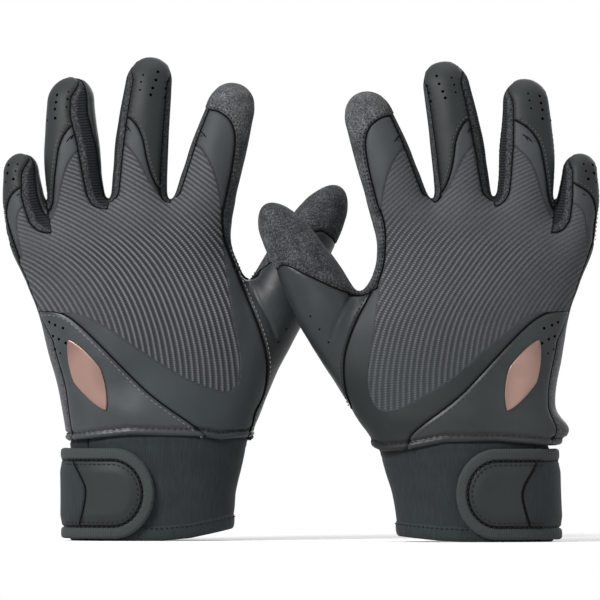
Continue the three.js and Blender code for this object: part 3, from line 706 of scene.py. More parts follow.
def back_and_front(glove, points):
    """How far each point is inside the back and inside the palm side. In between lies the
    fingers' side wall."""
    x, y, z = points.T
    across = hand_form(glove.side, z)[0]
    ulnar = np.interp(z, PALM_SEAM[:, 0], PALM_SEAM[:, 1])
    radial_share = smooth_step(x - across, *PALM_SEAM_TURN)
    middle = ulnar * (1 - radial_share) + RADIAL_SEAM_DEPTH * radial_share
    foot = smooth_step(x - across, *WALL_FOOT["across"]) * smooth_step(z, *WALL_FOOT["up"])
    hand_back = middle - WALL_FOOT["width"] * foot - y
    hand_front = y - middle
    nearest, distances = glove.nearest(points)
    back, front = hand_back.copy(), hand_front.copy()
    for k, finger in enumerate(glove.fingers):
        a, b, t = finger.coordinates(x, y, z)
        depth = finger.rolled_depth(a, b, t)
        half = finger.deep(t)
        share = smooth_step(t, *WALL_START) * (nearest == k)
        # over the tip's top the back reaches round to the far side
        band = BACK_BAND_SHARES[finger.name] * half
        band = band * (1 - TIP_WRAP * smooth_step(t, finger.round_start, finger.length - 0.5))
        back = back * (1 - share) + (-depth - band) * share
        front = front * (1 - share) + (depth - FRONT_BAND_SHARE * half) * share
    # below its suede the thumb has no side wall: the leather reaches the palm's
    thumb = glove.fingers[-1]
    near = smooth_step(distances.min(0) - distances[-1], *BARE_NEAR)
    near = near * smooth_step(x - across, *BARE_ACROSS)
    a, _, t = thumb.coordinates(x, y, z)
    line = np.array(THUMB_SUEDE[glove.side], float)
    bare = near * smooth_step(np.interp(a, *line.T) - t, 0, 2) * (z < BARE_BELOW)
    return back * (1 - bare) - front * bare, front


def suede_field(glove, points, drawn):
    """Inside the suede of the index finger and of the thumb."""
    index = polygon_field(glove.outline("index_suede"), drawn)
    thumb = glove.fingers[-1]
    nearest, _ = glove.nearest(points)
    a, _, t = thumb.coordinates(*points.T)
    line = np.array(THUMB_SUEDE[glove.side], float)
    curve = smooth_table(line[:, 0], line[:, 1], 1.5)
    on_thumb = np.where(nearest == len(glove.fingers) - 1, t - curve(a), FAR_OUTSIDE)
    return np.maximum(index, on_thumb)


def above_edge(side, points):
    """Height above the hand's lower edge, where it is sewn to the cuff."""
    x, y, z = points.T
    seen = np.interp(x, *np.array(HAND_EDGE[side], float).T)
    return z - np.where(y < 0, seen, HAND_EDGE[side][0][1])


# Cuff and strap

# Height, middle across, half width and half depth, then the right cuff's lean and narrowing
CUFF_SECTIONS = np.array([
    (0, 0.8, 36.1, 23, -12, 1.7), (20, 1.5, 36.5, 23.4, -11.2, 1.8), (45, 4.5, 40, 24, -9.6, 1.2),
])
CUFF_HEM_RISE = {"left": 6.5, "right": 3}
STRAP_SHIFT = {"left": 0, "right": -4.2}
CUFF_HEM_HEIGHT = 7
CUFF_SLIT = -28
STRAP_BOTTOM, STRAP_HEIGHT, STRAP_END, STRAP_ROUND = 1, 40.8, 2.3, 19.5
STRAP_INNER, STRAP_THICKNESS, STRAP_RIM = 2.5, 2.2, 5.4
STRAP_OVER = STRAP_INNER + STRAP_THICKNESS
STRAP_ROOT_END = -8
STRAP_PAD_ENDS = (-25.0, -2.0)
# The pads' top under the strap's, how far they stay inside its round end, and the gap to the hem
PAD_TOP_INSET, PAD_END_INSET, SEWN_GAP = 5, 2.5, 0.3
STRAP_MIDDLE_HEIGHT = 20.0
CUFF = [smooth_table(CUFF_SECTIONS[:, 0], CUFF_SECTIONS[:, k], 5.0) for k in range(1, 6)]


def cuff_form(side, height):
    """Middle across, half width and half depth of one cuff at a height."""
    across, half_width, half_depth, shift, narrowing = (f(height) for f in CUFF)
    if side == "right":
        return across + shift, half_width - narrowing, half_depth
    return across, half_width, half_depth


class Cuff:
    """One glove's cuff: an oval tube with the strap round it. Angle 0 is the thumb's side."""

    def __init__(self, side):
        self.side = side
        across = cuff_form(side, STRAP_MIDDLE_HEIGHT)[0]
        self.slit = CUFF_SLIT + across - cuff_form("left", STRAP_MIDDLE_HEIGHT)[0]
        self.strap_shift = STRAP_SHIFT[side]
        self.strap_end = STRAP_END + self.strap_shift
        self.elastic_line = ELASTIC_LINES[side]
        self.middle = np.array([across, 0, 22])

    def point(self, angle, height, offset):
        across, half_width, half_depth = cuff_form(self.side, height)
        return np.stack([across + (half_width + offset) * np.cos(angle),
                         (half_depth + offset) * np.sin(angle), height + 0 * angle], -1)

    def angle(self, x, height, offset):
        """The angle, on the back of the hand, at a place across."""
        across, half_width, _ = cuff_form(self.side, height)
        return -np.arccos(np.clip((x - across) / (half_width + offset), -1, 1))

    def hem_rise(self, angle):
        return CUFF_HEM_RISE[self.side] * np.interp(
            np.cos(angle), [-1.3, 0.15, 0.5, 0.8, 1.3], [0, 0, 0.2, 0.55, 1.2])


def grid_sheet(points, wrap=False, values=None):
    """A sheet through a grid of points (rows, columns, 3)."""
    rows, columns = points.shape[:2]
    index = np.arange(rows * columns).reshape(rows, columns)
    if wrap:
        index = np.hstack([index, index[:, :1]])
    a, b = index[:-1, :-1].ravel(), index[:-1, 1:].ravel()
    c, d = index[1:, 1:].ravel(), index[1:, :-1].ravel()
    triangles = np.vstack([np.stack([a, b, c], 1), np.stack([a, c, d], 1)])
    flat = {key: value.reshape(rows * columns, *value.shape[2:])
            for key, value in (values or {}).items()}
    return Sheet(points.reshape(-1, 3), triangles, flat)


def outward(sheet, middle):
    """The sheet with its faces turned away from a point on average."""
    a, b, c, face = sheet.faces()
    return sheet.turned() if (face * ((a + b + c) / 3 - middle)).sum() < 0 else sheet


# The cuff's grid, the slit's width as an angle, the band's lower edge over the hem's and its
# upper edge's height, its faces, and the fold and the tuck under the hand's lower edge
CUFF_COLUMNS, BAND_ROWS = 260, 46
SLIT_ANGLE = 0.06
BAND_LOW, BAND_HIGH = 4.0, 49.5
BAND_FACES = (0.35, -2.0)
BAND_FOLD_DEPTH, BAND_FOLD = 0.36, (4.0, 2.2)
BAND_TUCK_REACH, BAND_TUCK_SLOPE = 1.5, 0.35


def cuff_angles(cuff, height):
    """Angles round the cuff, from one side of its slit to the other."""
    start = cuff.angle(cuff.slit + 1.0, height, 0)
    return np.linspace(start, start + 2 * np.pi - SLIT_ANGLE, CUFF_COLUMNS)


def cuff_band(cuff):
    """The cuff's knit band as a closed strip with a slit under the strap."""
    angles = cuff_angles(cuff, STRAP_MIDDLE_HEIGHT)
    angle, share = np.meshgrid(angles, np.linspace(0, 1, BAND_ROWS))
    low = cuff.hem_rise(angle) + BAND_LOW
    height = low + (BAND_HIGH - low) * share
    flat = cuff.point(angle, height, 0.0).reshape(-1, 3)
    wave = 0.35 * noise(flat * [1, 1, 2.2], 16, 3) + 0.12 * noise(flat, 5, 4)
    below = -above_edge(cuff.side, flat)
    fold = BAND_FOLD_DEPTH * bell(below, *BAND_FOLD)
    tuck = np.maximum(BAND_TUCK_REACH - below, 0) * BAND_TUCK_SLOPE
    face = (wave + BAND_FACES[0] - fold - tuck).reshape(angle.shape)
    outer, inner = (cuff.point(angle, height, offset) for offset in (face, BAND_FACES[1]))
    return ring_of(outer, inner)


EDGE_BULGE_SHARE = 0.7


def ring_of(outer, inner):
    """Outer and inner grids of one strip, closed at its edges and rounded a little."""
    rows, columns = outer.shape[:2]
    middle = (outer + inner) / 2
    sheet_out, sheet_in = grid_sheet(outer), grid_sheet(inner).turned()
    index = np.arange(rows * columns).reshape(rows, columns)
    loop = np.concatenate([index[0, :], index[1:, -1], index[-1, -2::-1], index[-2:0:-1, 0]])
    out_loop, in_loop, mid_loop = (grid.reshape(-1, 3)[loop] for grid in (outer, inner, middle))
    away = unit(mid_loop - middle.reshape(-1, 3)[neighbour_inside(rows, columns)[loop]])
    half = np.linalg.norm(out_loop - in_loop, axis=1, keepdims=True) / 2
    steps = []
    for share in (0.15, 0.5, 0.85):
        bulge = math.sin(share * math.pi) * EDGE_BULGE_SHARE
        steps.append(out_loop * (1 - share) + in_loop * share + away * half * bulge)
    count = len(loop)
    base = 2 * rows * columns
    rings = [loop, base + np.arange(count), base + count + np.arange(count),
             base + 2 * count + np.arange(count), loop + rows * columns]
    triangles = [sheet_out.triangles, sheet_in.triangles + rows * columns]
    for first, second in zip(rings[:-1], rings[1:]):
        a, b = first, np.roll(first, -1)
        c, d = np.roll(second, -1), second
        triangles += [np.stack([b, a, c], 1), np.stack([c, a, d], 1)]
    points = np.vstack([sheet_out.points, sheet_in.points] + steps)
    return Sheet(points, np.vstack(triangles))


def neighbour_inside(rows, columns):
    """For each point of a grid, the point one step further from the grid's edge."""
    r, c = np.meshgrid(np.arange(rows), np.arange(columns), indexing="ij")
    r2 = np.clip(r, 1, rows - 2)
    c2 = np.clip(c, 1, columns - 2)
    return (r2 * columns + c2).ravel()


# The folded hem's section: how far out from the cuff and how high above its lower edge
HEM_SECTION = np.array([
    (-2.0, 7.0), (-2.2, 4.0), (-2.1, 1.2), (-1.7, 0.3), (-1.0, 0.0), (-0.3, 0.0), (0.3, 0.35),
    (0.75, 1.2), (0.95, 2.4), (0.95, 4.4), (0.8, 5.8), (0.45, 6.7), (-0.1, 7.1),
])


def cuff_hem(cuff):
    """The hem: a folded band round the cuff's lower edge."""
    angle, row = np.meshgrid(cuff_angles(cuff, 5.0), np.arange(len(HEM_SECTION)))
    wave = 0.15 * np.sin(angle * 23) + 0.1 * np.sin(angle * 41 + 1)
    out, up = HEM_SECTION[row].transpose(2, 0, 1)
    return grid_sheet(cuff.point(angle, cuff.hem_rise(angle) + up, out + 0.25 * wave))


def tab_grid(cuff, rows, inset=0.0):
    """Heights over the strap's tab and where its half-oval end lies across."""
    half = STRAP_HEIGHT / 2 - inset
    middle = STRAP_BOTTOM + STRAP_HEIGHT / 2
    sweep = np.linspace(-np.pi / 2, np.pi / 2, rows)
    height = middle + half * np.sin(sweep)
    end = cuff.strap_end - STRAP_ROUND + (STRAP_ROUND - inset) * np.cos(sweep)
    return height, end, middle, half


# The tab's section from its edge inwards: the rounded edge's drop and reach, the binding's
# bulge, the groove inside it and its painted shade, the face's pillow, and the seam between
# its two materials and its painted shade
TAB_EDGE_DROP, TAB_EDGE_REACH, TAB_BULGE = 1.5, 1.3, 0.35
TAB_GROOVE_DEPTH, TAB_GROOVE_REACH, TAB_GROOVE_SHADE = 0.95, 0.5, 0.6
TAB_PILLOW_HEIGHT, TAB_PILLOW = 0.8, (STRAP_RIM + 0.2, STRAP_RIM + 6)
TAB_SEAM_DEPTH, TAB_SEAM_REACH, TAB_SEAM_SHADE = 0.6, 0.55, 0.5


def strap_tab(cuff):
    """The tab: elastic and leather faces inside a ribbed binding."""
    rows, columns = ((150, 240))
    height, end, middle, half = tab_grid(cuff, rows)
    share = np.linspace(0, 1, columns) ** 0.9
    round_start = cuff.strap_end - STRAP_ROUND
    outer, inner, edge_distance = [], [], []
    for h, e in zip(height, end):
        last = cuff.angle(e, h, STRAP_OVER)
        angle = -np.pi + (last + np.pi) * share
        level = np.full_like(angle, h)
        flat = cuff.point(angle, level, STRAP_OVER)
        x = flat[:, 0]
        over = np.maximum(x - round_start, 0) / STRAP_ROUND
        up = (h - middle) / half
        radius = np.sqrt(over ** 2 + up ** 2)
        slope = np.sqrt((over / STRAP_ROUND) ** 2 + (up / half) ** 2) / np.maximum(radius, 1e-3)
        distance = np.maximum((1 - radius) / np.maximum(slope, 1e-3), 0)
        rise = -TAB_EDGE_DROP * rounding(distance, TAB_EDGE_REACH)
        rim = TAB_BULGE * np.sin(np.pi * np.clip(distance / STRAP_RIM, 0, 1)) ** 0.7
        groove = -TAB_GROOVE_DEPTH * bell(distance, STRAP_RIM, TAB_GROOVE_REACH)
        pillow = TAB_PILLOW_HEIGHT * smooth_step(distance, *TAB_PILLOW)
        line = curve_across(h, cuff.elastic_line)
        seam = -TAB_SEAM_DEPTH * bell(x, line, TAB_SEAM_REACH) * (distance > STRAP_RIM)
        offset = STRAP_OVER - TAB_BULGE + rise + rim + groove + pillow + seam
        outer.append(cuff.point(angle, level, offset))
        inner.append(cuff.point(angle, level, np.full_like(angle, STRAP_INNER)))
        edge_distance.append(np.stack([distance, x - line], 1))
    outer, inner = np.array(outer), np.array(inner)
    sheet = outward(ring_of(outer, inner), cuff.middle)
    face = np.array(edge_distance).reshape(-1, 2)
    edge, patch = np.zeros((2, len(sheet.points)))
    edge[:len(face)] = face[:, 0]
    patch[:2 * len(face)] = np.tile(face[:, 1], 2)
    # Painted shade in the groove inside the binding and in the seam between elastic and patch
    seam = bell(patch, 0, TAB_SEAM_SHADE) * (edge > STRAP_RIM)
    cavity = np.maximum(bell(edge, STRAP_RIM, TAB_GROOVE_SHADE), seam)
    sheet.values.update(edge=edge, patch=patch, cavity=cavity)
    return sheet


# The seam between the strap's elastic and its leather patch, in the photograph
ELASTIC_PIXELS = {
    "left": [(68, 452), (71.7, 463), (80, 478), (85, 490), (82, 510), (76.7, 528), (72, 540)],
    "right": [(59, 452), (63, 465), (73, 480), (78, 493), (74, 511), (68, 528), (64, 540)],
}
ELASTIC_LINES = {side: smooth_outline(photo_to_glove(line), closed=False)
                 for side, line in ELASTIC_PIXELS.items()}


def curve_across(height, line):
    """Where a curve that runs upwards lies across, at a height."""
    order = np.argsort(line[:, 1])
    return np.interp(height, line[order, 1], line[order, 0])


# The sewn end's faces over the cuff, how much lower its top is than the tab's, its rounded
# edge, and its groove's depth, inset and reach
ROOT_FACES, ROOT_TOP_INSET, ROOT_EDGE = (4.3, 0.35), 3, 1.2
ROOT_GROOVE_DEPTH, ROOT_GROOVE = 0.5, (3.2, 0.5)


def strap_root(cuff):
    """The strap's sewn end, round the palm's side of the cuff."""
    rows, columns = 40, 90
    top, bottom = STRAP_BOTTOM + STRAP_HEIGHT - ROOT_TOP_INSET, CUFF_HEM_HEIGHT + SEWN_GAP
    height = np.linspace(bottom, top, rows)
    last = np.pi - 0.01
    first = -cuff.angle(STRAP_ROOT_END + cuff.strap_shift, STRAP_MIDDLE_HEIGHT, 4)
    angle, level = np.meshgrid(np.linspace(first, last, columns), height)
    up = np.abs(level - (top + bottom) / 2) / ((top - bottom) / 2)
    edge = np.minimum((1 - up) * (top - bottom) / 2, (angle - first) * 40)
    rise = -ROOT_EDGE * rounding(edge, ROOT_EDGE)
    groove = -ROOT_GROOVE_DEPTH * bell(edge, *ROOT_GROOVE)
    outer = cuff.point(angle, level, ROOT_FACES[0] + rise + groove)
    inner = cuff.point(angle, level, np.full_like(level, ROOT_FACES[1]))
    return outward(ring_of(outer, inner), cuff.middle)


# The elastic that bends where the tab peels off: how far it reaches into the sewn end and the
# tab, how far from the joint it turns, and where its two faces lie over the cuff
BEND_REACH, BEND_TURN, BEND_FACES = 3.5, 0.4, (4.0, 2.8)


def strap_bend(cuff):
    """The elastic between the strap's sewn end and its tab, mostly inside the two."""
    turning = np.linspace(BEND_TURN, -BEND_TURN, 25)
    depth = np.concatenate([[BEND_REACH], turning, [-BEND_REACH]])
    height = np.linspace(CUFF_HEM_HEIGHT + 0.8, STRAP_BOTTOM + STRAP_HEIGHT - 3.5, 24)
    half_depth = cuff_form(cuff.side, STRAP_MIDDLE_HEIGHT)[2] + BEND_FACES[0]
    angle, level = np.meshgrid(np.pi - np.arcsin(depth / half_depth), height)
    faces = [cuff.point(angle, level, offset) for offset in BEND_FACES]
    return outward(ring_of(*faces), cuff.middle)


def pad(cuff, offset_low, offset_high, ragged):
    """A patch of hook or loop cloth under the tab."""
    rows, columns = 30, 40
    top = STRAP_BOTTOM + STRAP_HEIGHT - PAD_TOP_INSET
    height = np.linspace(CUFF_HEM_HEIGHT + SEWN_GAP, top, rows)
    first = cuff.angle(STRAP_PAD_ENDS[0] + cuff.strap_shift, STRAP_MIDDLE_HEIGHT, offset_low)
    up = (height - STRAP_BOTTOM - STRAP_HEIGHT / 2) / (STRAP_HEIGHT / 2)
    end = cuff.strap_end - STRAP_ROUND + STRAP_ROUND * np.sqrt(np.maximum(1 - up ** 2, 0))
    end = np.minimum(end - PAD_END_INSET, STRAP_PAD_ENDS[1] + cuff.strap_shift)
    last = cuff.angle(end, height, offset_low)
    share = np.linspace(0, 1, columns)
    angle = first + (last[:, None] - first) * share
    level = np.repeat(height[:, None], columns, axis=1)
    flat = cuff.point(angle, level, offset_low).reshape(-1, 3)
    rough = (ragged * noise(flat, 1.4, 9)).reshape(level.shape)
    outer = cuff.point(angle, level, offset_high + rough)
    inner = cuff.point(angle, level, np.full_like(level, offset_low))
    return outward(ring_of(outer, inner), cuff.middle)


# Materials


def linear(hex_colour):
    """A colour in linear light, from its web form."""
    parts = [int(hex_colour[k:k + 2], 16) / 255 for k in (1, 3, 5)]
    return [p / 12.92 if p <= 0.04045 else ((p + 0.055) / 1.055) ** 2.4 for p in parts] + [1]


class Nodes:
    """Short names for building a node material."""

    def __init__(self, name):
        self.material = bpy.data.materials.new(name)
        self.material.use_nodes = True
        self.tree = self.material.node_tree
        self.shader = self.tree.nodes["Principled BSDF"]

    def connect(self, socket, value):
        """Links a socket to another one, or sets it to a plain value."""
        if isinstance(value, bpy.types.NodeSocket):
            self.tree.links.new(value, socket)
        else:
            socket.default_value = value

    def add(self, kind, inputs=None, **settings):
        node = self.tree.nodes.new(kind)
        for key, value in settings.items():
            setattr(node, key, value)
        for key, value in (inputs or {}).items():
            self.connect(node.inputs[key], value)
        return node

    def attribute(self, name, kind="Fac"):
        return self.add("ShaderNodeAttribute", attribute_name=name).outputs[kind]

    def place(self):
        return self.attribute("rest", "Vector")

    def drawn_out(self, share):
        """The place with its height squeezed, so that grain runs upwards."""
        return self.add("ShaderNodeMapping", {"Vector": self.place(),
                                              "Scale": (1.0, 1.0, share)}).outputs[0]

    def math(self, operation, *values):
        return self.add("ShaderNodeMath", dict(enumerate(values)), operation=operation).outputs[0]

    def total(self, *terms, start=0.0):
        """The sum of a start and of values times their weights."""
        for value, weight in terms:
            start = self.math("MULTIPLY_ADD", value, weight, start)
        return start

    def rest_of(self, share):
        return self.math("SUBTRACT", 1.0, share)

    def wave(self, name, pitch):
        """A wave from -1 to 1 along one of the piece's values."""
        turns = self.math("MULTIPLY", self.attribute(name), 2 * math.pi / pitch)
        return self.math("SINE", turns)

    def noise(self, scale, detail=3, roughness=0.6, vector=None):
        return self.add("ShaderNodeTexNoise", {
            "Vector": vector or self.place(), "Scale": scale, "Detail": detail,
            "Roughness": roughness}).outputs["Fac"]

    def cells(self, scale, **settings):
        return self.add("ShaderNodeTexVoronoi", {"Vector": self.place(), "Scale": scale},
                        **settings).outputs["Distance"]

    def ramp(self, value, *stops):
        node = self.add("ShaderNodeValToRGB", {"Fac": value})
        ramp = node.color_ramp
        while len(ramp.elements) < len(stops):
            ramp.elements.new(0.5)
        for element, (place, colour) in zip(ramp.elements, stops):
            element.position = place
            element.color = linear(colour)
        return node.outputs["Color"]

    def mix(self, share, first, second):
        return self.add("ShaderNodeMix", {0: share, 6: first, 7: second},
                        data_type="RGBA").outputs[2]

    def shaded(self, colour, share=0.65):
        """The colour darkened by painted shade in seams and grooves, where the piece's own value
        for that shade is high.
        """
        deep = self.math("MULTIPLY", self.attribute("cavity"), share)
        return self.mix(deep, colour, linear("#050606"))

    def finish(self, colour, height, strength=0.3, distance=0.3, roughness=0.6, **sockets):
        bump = self.add("ShaderNodeBump", {"Height": height, "Strength": strength,
                                           "Distance": distance * MM}).outputs[0]
        sockets.update(Base_Color=colour, Normal=bump, Roughness=roughness)
        for key, value in sockets.items():
            self.connect(self.shader.inputs[key.replace("_", " ")], value)
        return self.material


def leather(name, low, high, roughness=0.48, grain=1.1, terry=False, shine=0.3):
    """Smooth sports leather: fine pebbles, faint mottling and soft shine."""
    n = Nodes(name)
    pebbles = n.cells(grain, feature="SMOOTH_F1")
    fine = n.noise(2.6, 4)
    broad = n.noise(0.055, 3)
    colour = n.ramp(n.total((fine, 0.25), (broad, 0.8)), (0.3, low), (0.72, high))
    height = n.total((fine, 0.5), (pebbles, 0.6))
    if terry:
        speckle = n.noise(1.4, 4, 0.8)
        strip = n.attribute("strip")
        loops = n.ramp(speckle, (0.4, "#1c1d20"), (0.5, "#38393d"), (0.62, "#66666b"))
        colour = n.mix(strip, colour, loops)
        height = n.total((n.math("MULTIPLY", strip, speckle), 4.0), start=height)
    rough = n.total((fine, 0.12), start=roughness - 0.06)
    return n.finish(n.shaded(colour), height, 0.22, 0.12, rough, Specular_IOR_Level=shine)


def ribbed_knit(name):
    """The back's textile: beaded ridges lighter than the grooves between, speckled with knit. The
    grooves' darker tone is partly the knit's own and partly painted shade.
    """
    n = Nodes(name)
    fine, fade = n.attribute("fine"), n.attribute("fade")
    wave = n.math("COSINE", n.math("MULTIPLY", n.attribute("phase"), 2 * math.pi))
    wave = n.total((wave, 0.5), start=0.5)
    broad = n.math("MULTIPLY", n.math("POWER", wave, 1.4), n.rest_of(fine))
    close = n.total((n.math("POWER", wave, 0.8), 0.6), start=0.15)
    ridge = n.total((n.total((close, fine), start=broad), fade), (n.rest_of(fade), 0.4))
    beads = n.wave("beads", 1.05)
    speckle = n.noise(1.7, 4, 0.75)
    drift = n.noise(0.03, 2)
    tone = n.total((speckle, 0.56), (ridge, 0.6), (drift, 0.16),
                   (n.math("MULTIPLY", beads, broad), 0.2), start=-0.14)
    colour = n.ramp(tone, (0.1, "#222426"), (0.36, "#37393c"), (0.62, "#525457"),
                    (0.9, "#7a7b7f"))
    lower = n.math("MULTIPLY", n.attribute("lower"), 0.5)
    # painted shade in seams and along the line where ribs meet plain textile
    colour = n.shaded(n.mix(lower, colour, linear("#343a3c")), 0.75)
    beads = n.math("MULTIPLY", beads, n.rest_of(fine))
    height = n.total((speckle, 0.8), (beads, 0.25), (ridge, 0.9))
    return n.finish(colour, height, 0.5, 0.22, 0.86, Specular_IOR_Level=0.15,
                    Sheen_Weight=0.05, Sheen_Roughness=0.5)


def smooth_textile(name, low, high):
    """The plain textile round the ribs, with its two tones below the knuckles."""
    n = Nodes(name)
    fine = n.noise(3.2, 3, 0.7)
    tone = n.total((fine, 0.4), (n.noise(0.05, 2), 0.6))
    upper = n.ramp(tone, (0.25, "#303336"), (0.75, "#3f4346"))
    lower = n.ramp(tone, (0.25, low), (0.75, high))
    colour = n.shaded(n.mix(n.attribute("lower"), upper, lower))
    return n.finish(colour, fine, 0.2, 0.12, 0.6, Specular_IOR_Level=0.25)


def side_knit(name):
    """The fingers' side walls: a coarse edge strip, then fine ribs across the finger."""
    n = Nodes(name)
    ridge = n.total((n.wave("along", 1.25), 0.5), start=0.5)
    speckle = n.noise(1.2, 4, 0.8)
    strip = n.attribute("strip")
    inner = n.ramp(n.total((speckle, 0.4), (ridge, 0.5)),
                   (0.1, "#111315"), (0.6, "#23272a"), (0.95, "#363b3e"))
    terry = n.ramp(speckle, (0.36, "#191b1c"), (0.5, "#343638"), (0.64, "#5c5e61"))
    colour = n.shaded(n.mix(strip, inner, terry), 0.5)
    height = n.total((ridge, n.rest_of(strip)), (speckle, n.total((strip, 1.2), start=0.3)))
    return n.finish(colour, height, 0.7, 0.35, 0.92, Specular_IOR_Level=0.1,
                    Sheen_Weight=0.04, Sheen_Roughness=0.4)


def suede(name):
    """Napped suede: a dense, uneven speckle of light and dark fibres."""
    n = Nodes(name)
    coarse, fine, broad = n.noise(1.25, 4, 0.8), n.noise(2.7, 3, 0.8), n.noise(0.16, 3, 0.6)
    tone = n.total((fine, 0.5), (coarse, 0.6), (broad, 0.22), start=-0.15)
    dark = n.ramp(tone, (0.4, "#1b1d1e"), (0.49, "#333638"), (0.57, "#4e5153"),
                  (0.68, "#7c7f81"))
    # painted light: a paler copy of the suede where the index finger's top is lit from above
    lit_top = n.ramp(tone, (0.4, "#2a2c2e"), (0.49, "#454749"), (0.57, "#626466"),
                  (0.68, "#8c8f91"))
    colour = n.shaded(n.mix(n.attribute("strip"), dark, lit_top), 0.6)
    return n.finish(colour, tone, 0.8, 0.4, 0.95, Specular_IOR_Level=0.1,
                    Sheen_Weight=0.08, Sheen_Roughness=0.4)


def cuff_knit(name, low, high, ribs=0.06):
    """Foam-backed knit with very fine upright ribs."""
    n = Nodes(name)
    wave = n.wave("around", 0.9)
    streak = n.noise(0.9, 3, 0.6, n.drawn_out(0.16))
    tone = n.total((n.noise(0.04, 2), 0.4), (streak, 0.6), (wave, ribs))
    colour = n.shaded(n.ramp(tone, (0.3, low), (0.7, high)))
    return n.finish(colour, n.total((wave, 0.4), start=streak), 0.3, 0.15, 0.78,
                    Specular_IOR_Level=0.2, Sheen_Weight=0.02)


def binding(name):
    """Ribbed elastic binding."""
    n = Nodes(name)
    wave = n.wave("around", 1.1)
    fine = n.noise(2.4, 3, 0.7)
    tone = n.total((fine, 0.5), (wave, 0.07), start=0.3)
    colour = n.ramp(tone, (0.2, "#272b2c"), (0.6, "#3a3f40"), (0.95, "#515657"))
    return n.finish(colour, n.total((wave, 0.35), start=fine), 0.5, 0.25, 0.8,
                    Specular_IOR_Level=0.2, Sheen_Weight=0.03)


def plain(name, low, high, roughness, scale=2.0, shine=0.5):
    """A fine-grained material, such as thread."""
    n = Nodes(name)
    fine = n.noise(scale, 3, 0.7)
    return n.finish(n.ramp(fine, (0.3, low), (0.7, high)), fine, 0.3, 0.1, roughness,
                    Specular_IOR_Level=shine)


def metal_film(name):
    """Matt rose metal film: one slow change of tone and a very fine brushed grain."""
    n = Nodes(name)
    brushed = n.noise(5.0, 2, 0.5, n.drawn_out(0.12))
    tone = n.total((n.noise(0.05, 0), 0.9), (brushed, 0.12))
    colour = n.ramp(tone, (0.3, "#765c57"), (0.7, "#96796f"))
    return n.finish(colour, brushed, 0.08, 0.04, 0.36, Metallic=0.6)


def hook_cloth(name):
    """Hook or loop cloth: small dark tufts."""
    n = Nodes(name)
    hooks = n.cells(1.1)
    colour = n.ramp(hooks, (0.0, "#2a2c2e"), (0.6, "#0d0e0f"))
    return n.finish(colour, hooks, 1.0, 0.6, 0.9, Specular_IOR_Level=0.2)


# Each material's maker and its settings: tones, then roughness and others
LOOKS = {
    "ribbed_knit": (ribbed_knit,),
    "smooth_textile": (smooth_textile, "#282d2f", "#353b3d"),
    # painted shade: a darker copy of the plain textile for the right glove
    "shaded_textile": (smooth_textile, "#161b1b", "#202626"),
    "smooth_leather": (leather, "#25292b", "#363b3d", 0.42, 1.1, False, 0.4),
    # painted shade: a darker copy of the heel's leather for the right glove
    "shaded_leather": (leather, "#202526", "#2e3334", 0.42),
    "thumb_leather": (leather, "#1e2324", "#2a2f31", 0.44),
    "tip_leather": (leather, "#14191a", "#1d2224", 0.58),
    "palm_leather": (leather, "#222628", "#303537", 0.52, 0.8, True),
    "strap_leather": (leather, "#161b1c", "#1f2627", 0.52),
    "gusset_knit": (side_knit,),
    "suede": (suede,),
    "cuff_knit": (cuff_knit, "#1e2224", "#2b3133"),
    "hem_cloth": (cuff_knit, "#1f2426", "#2f3537", 0.03),
    "strap_knit": (cuff_knit, "#222729", "#2f3537"),
    "binding": (binding,),
    "hook_and_loop": (hook_cloth,),
    "rose_film": (metal_film,),
    "black_thread": (plain, "#020202", "#0a0b0b", 0.9, 2.0, 0.1),
    "dark_thread": (plain, "#0c0d0e", "#212426", 0.8, 2.0, 0.25),
    "light_thread": (plain, "#4c5052", "#787c7e", 0.75),
    "grey_thread": (plain, "#3c4042", "#5c6062", 0.75),
    # painted shade: a darker copy of the light thread for the right glove
    "worn_thread": (plain, "#1c1e1f", "#3a3d3f", 0.75),
    # painted shade: near black, for the dark inside of the vent holes
    "hole": (plain, "#010101", "#030303", 1.0, 2.0, 0.0),
    "lining": (plain, "#1c1e20", "#2c2f31", 0.9, 1.2),
}
MATERIALS = {name: make(name, *look) for name, (make, *look) in LOOKS.items()}
# The slot of each material that has none of its own name
SLOT_OF = {"smooth_textile": "ribbed_knit", "shaded_textile": "ribbed_knit",
           "thumb_leather": "smooth_leather", "shaded_leather": "smooth_leather",
           "hole": "palm_leather", "hem_cloth": "binding", "strap_knit": "cuff_knit",
           "lining": "gusset_knit",
           **{f"{tone}_thread": "binding" for tone in ("black", "light", "worn", "grey", "dark")}}
# What the right glove has darker than the left: painted shade, as darker copies of the left
# glove's textile, heel leather and thread
PLAIN_TEXTILE = {"left": "smooth_textile", "right": "shaded_textile"}
HEEL_LEATHER = {"left": "smooth_leather", "right": "shaded_leather"}
SEWING_THREAD = {"left": "light_thread", "right": "worn_thread"}


# Objects


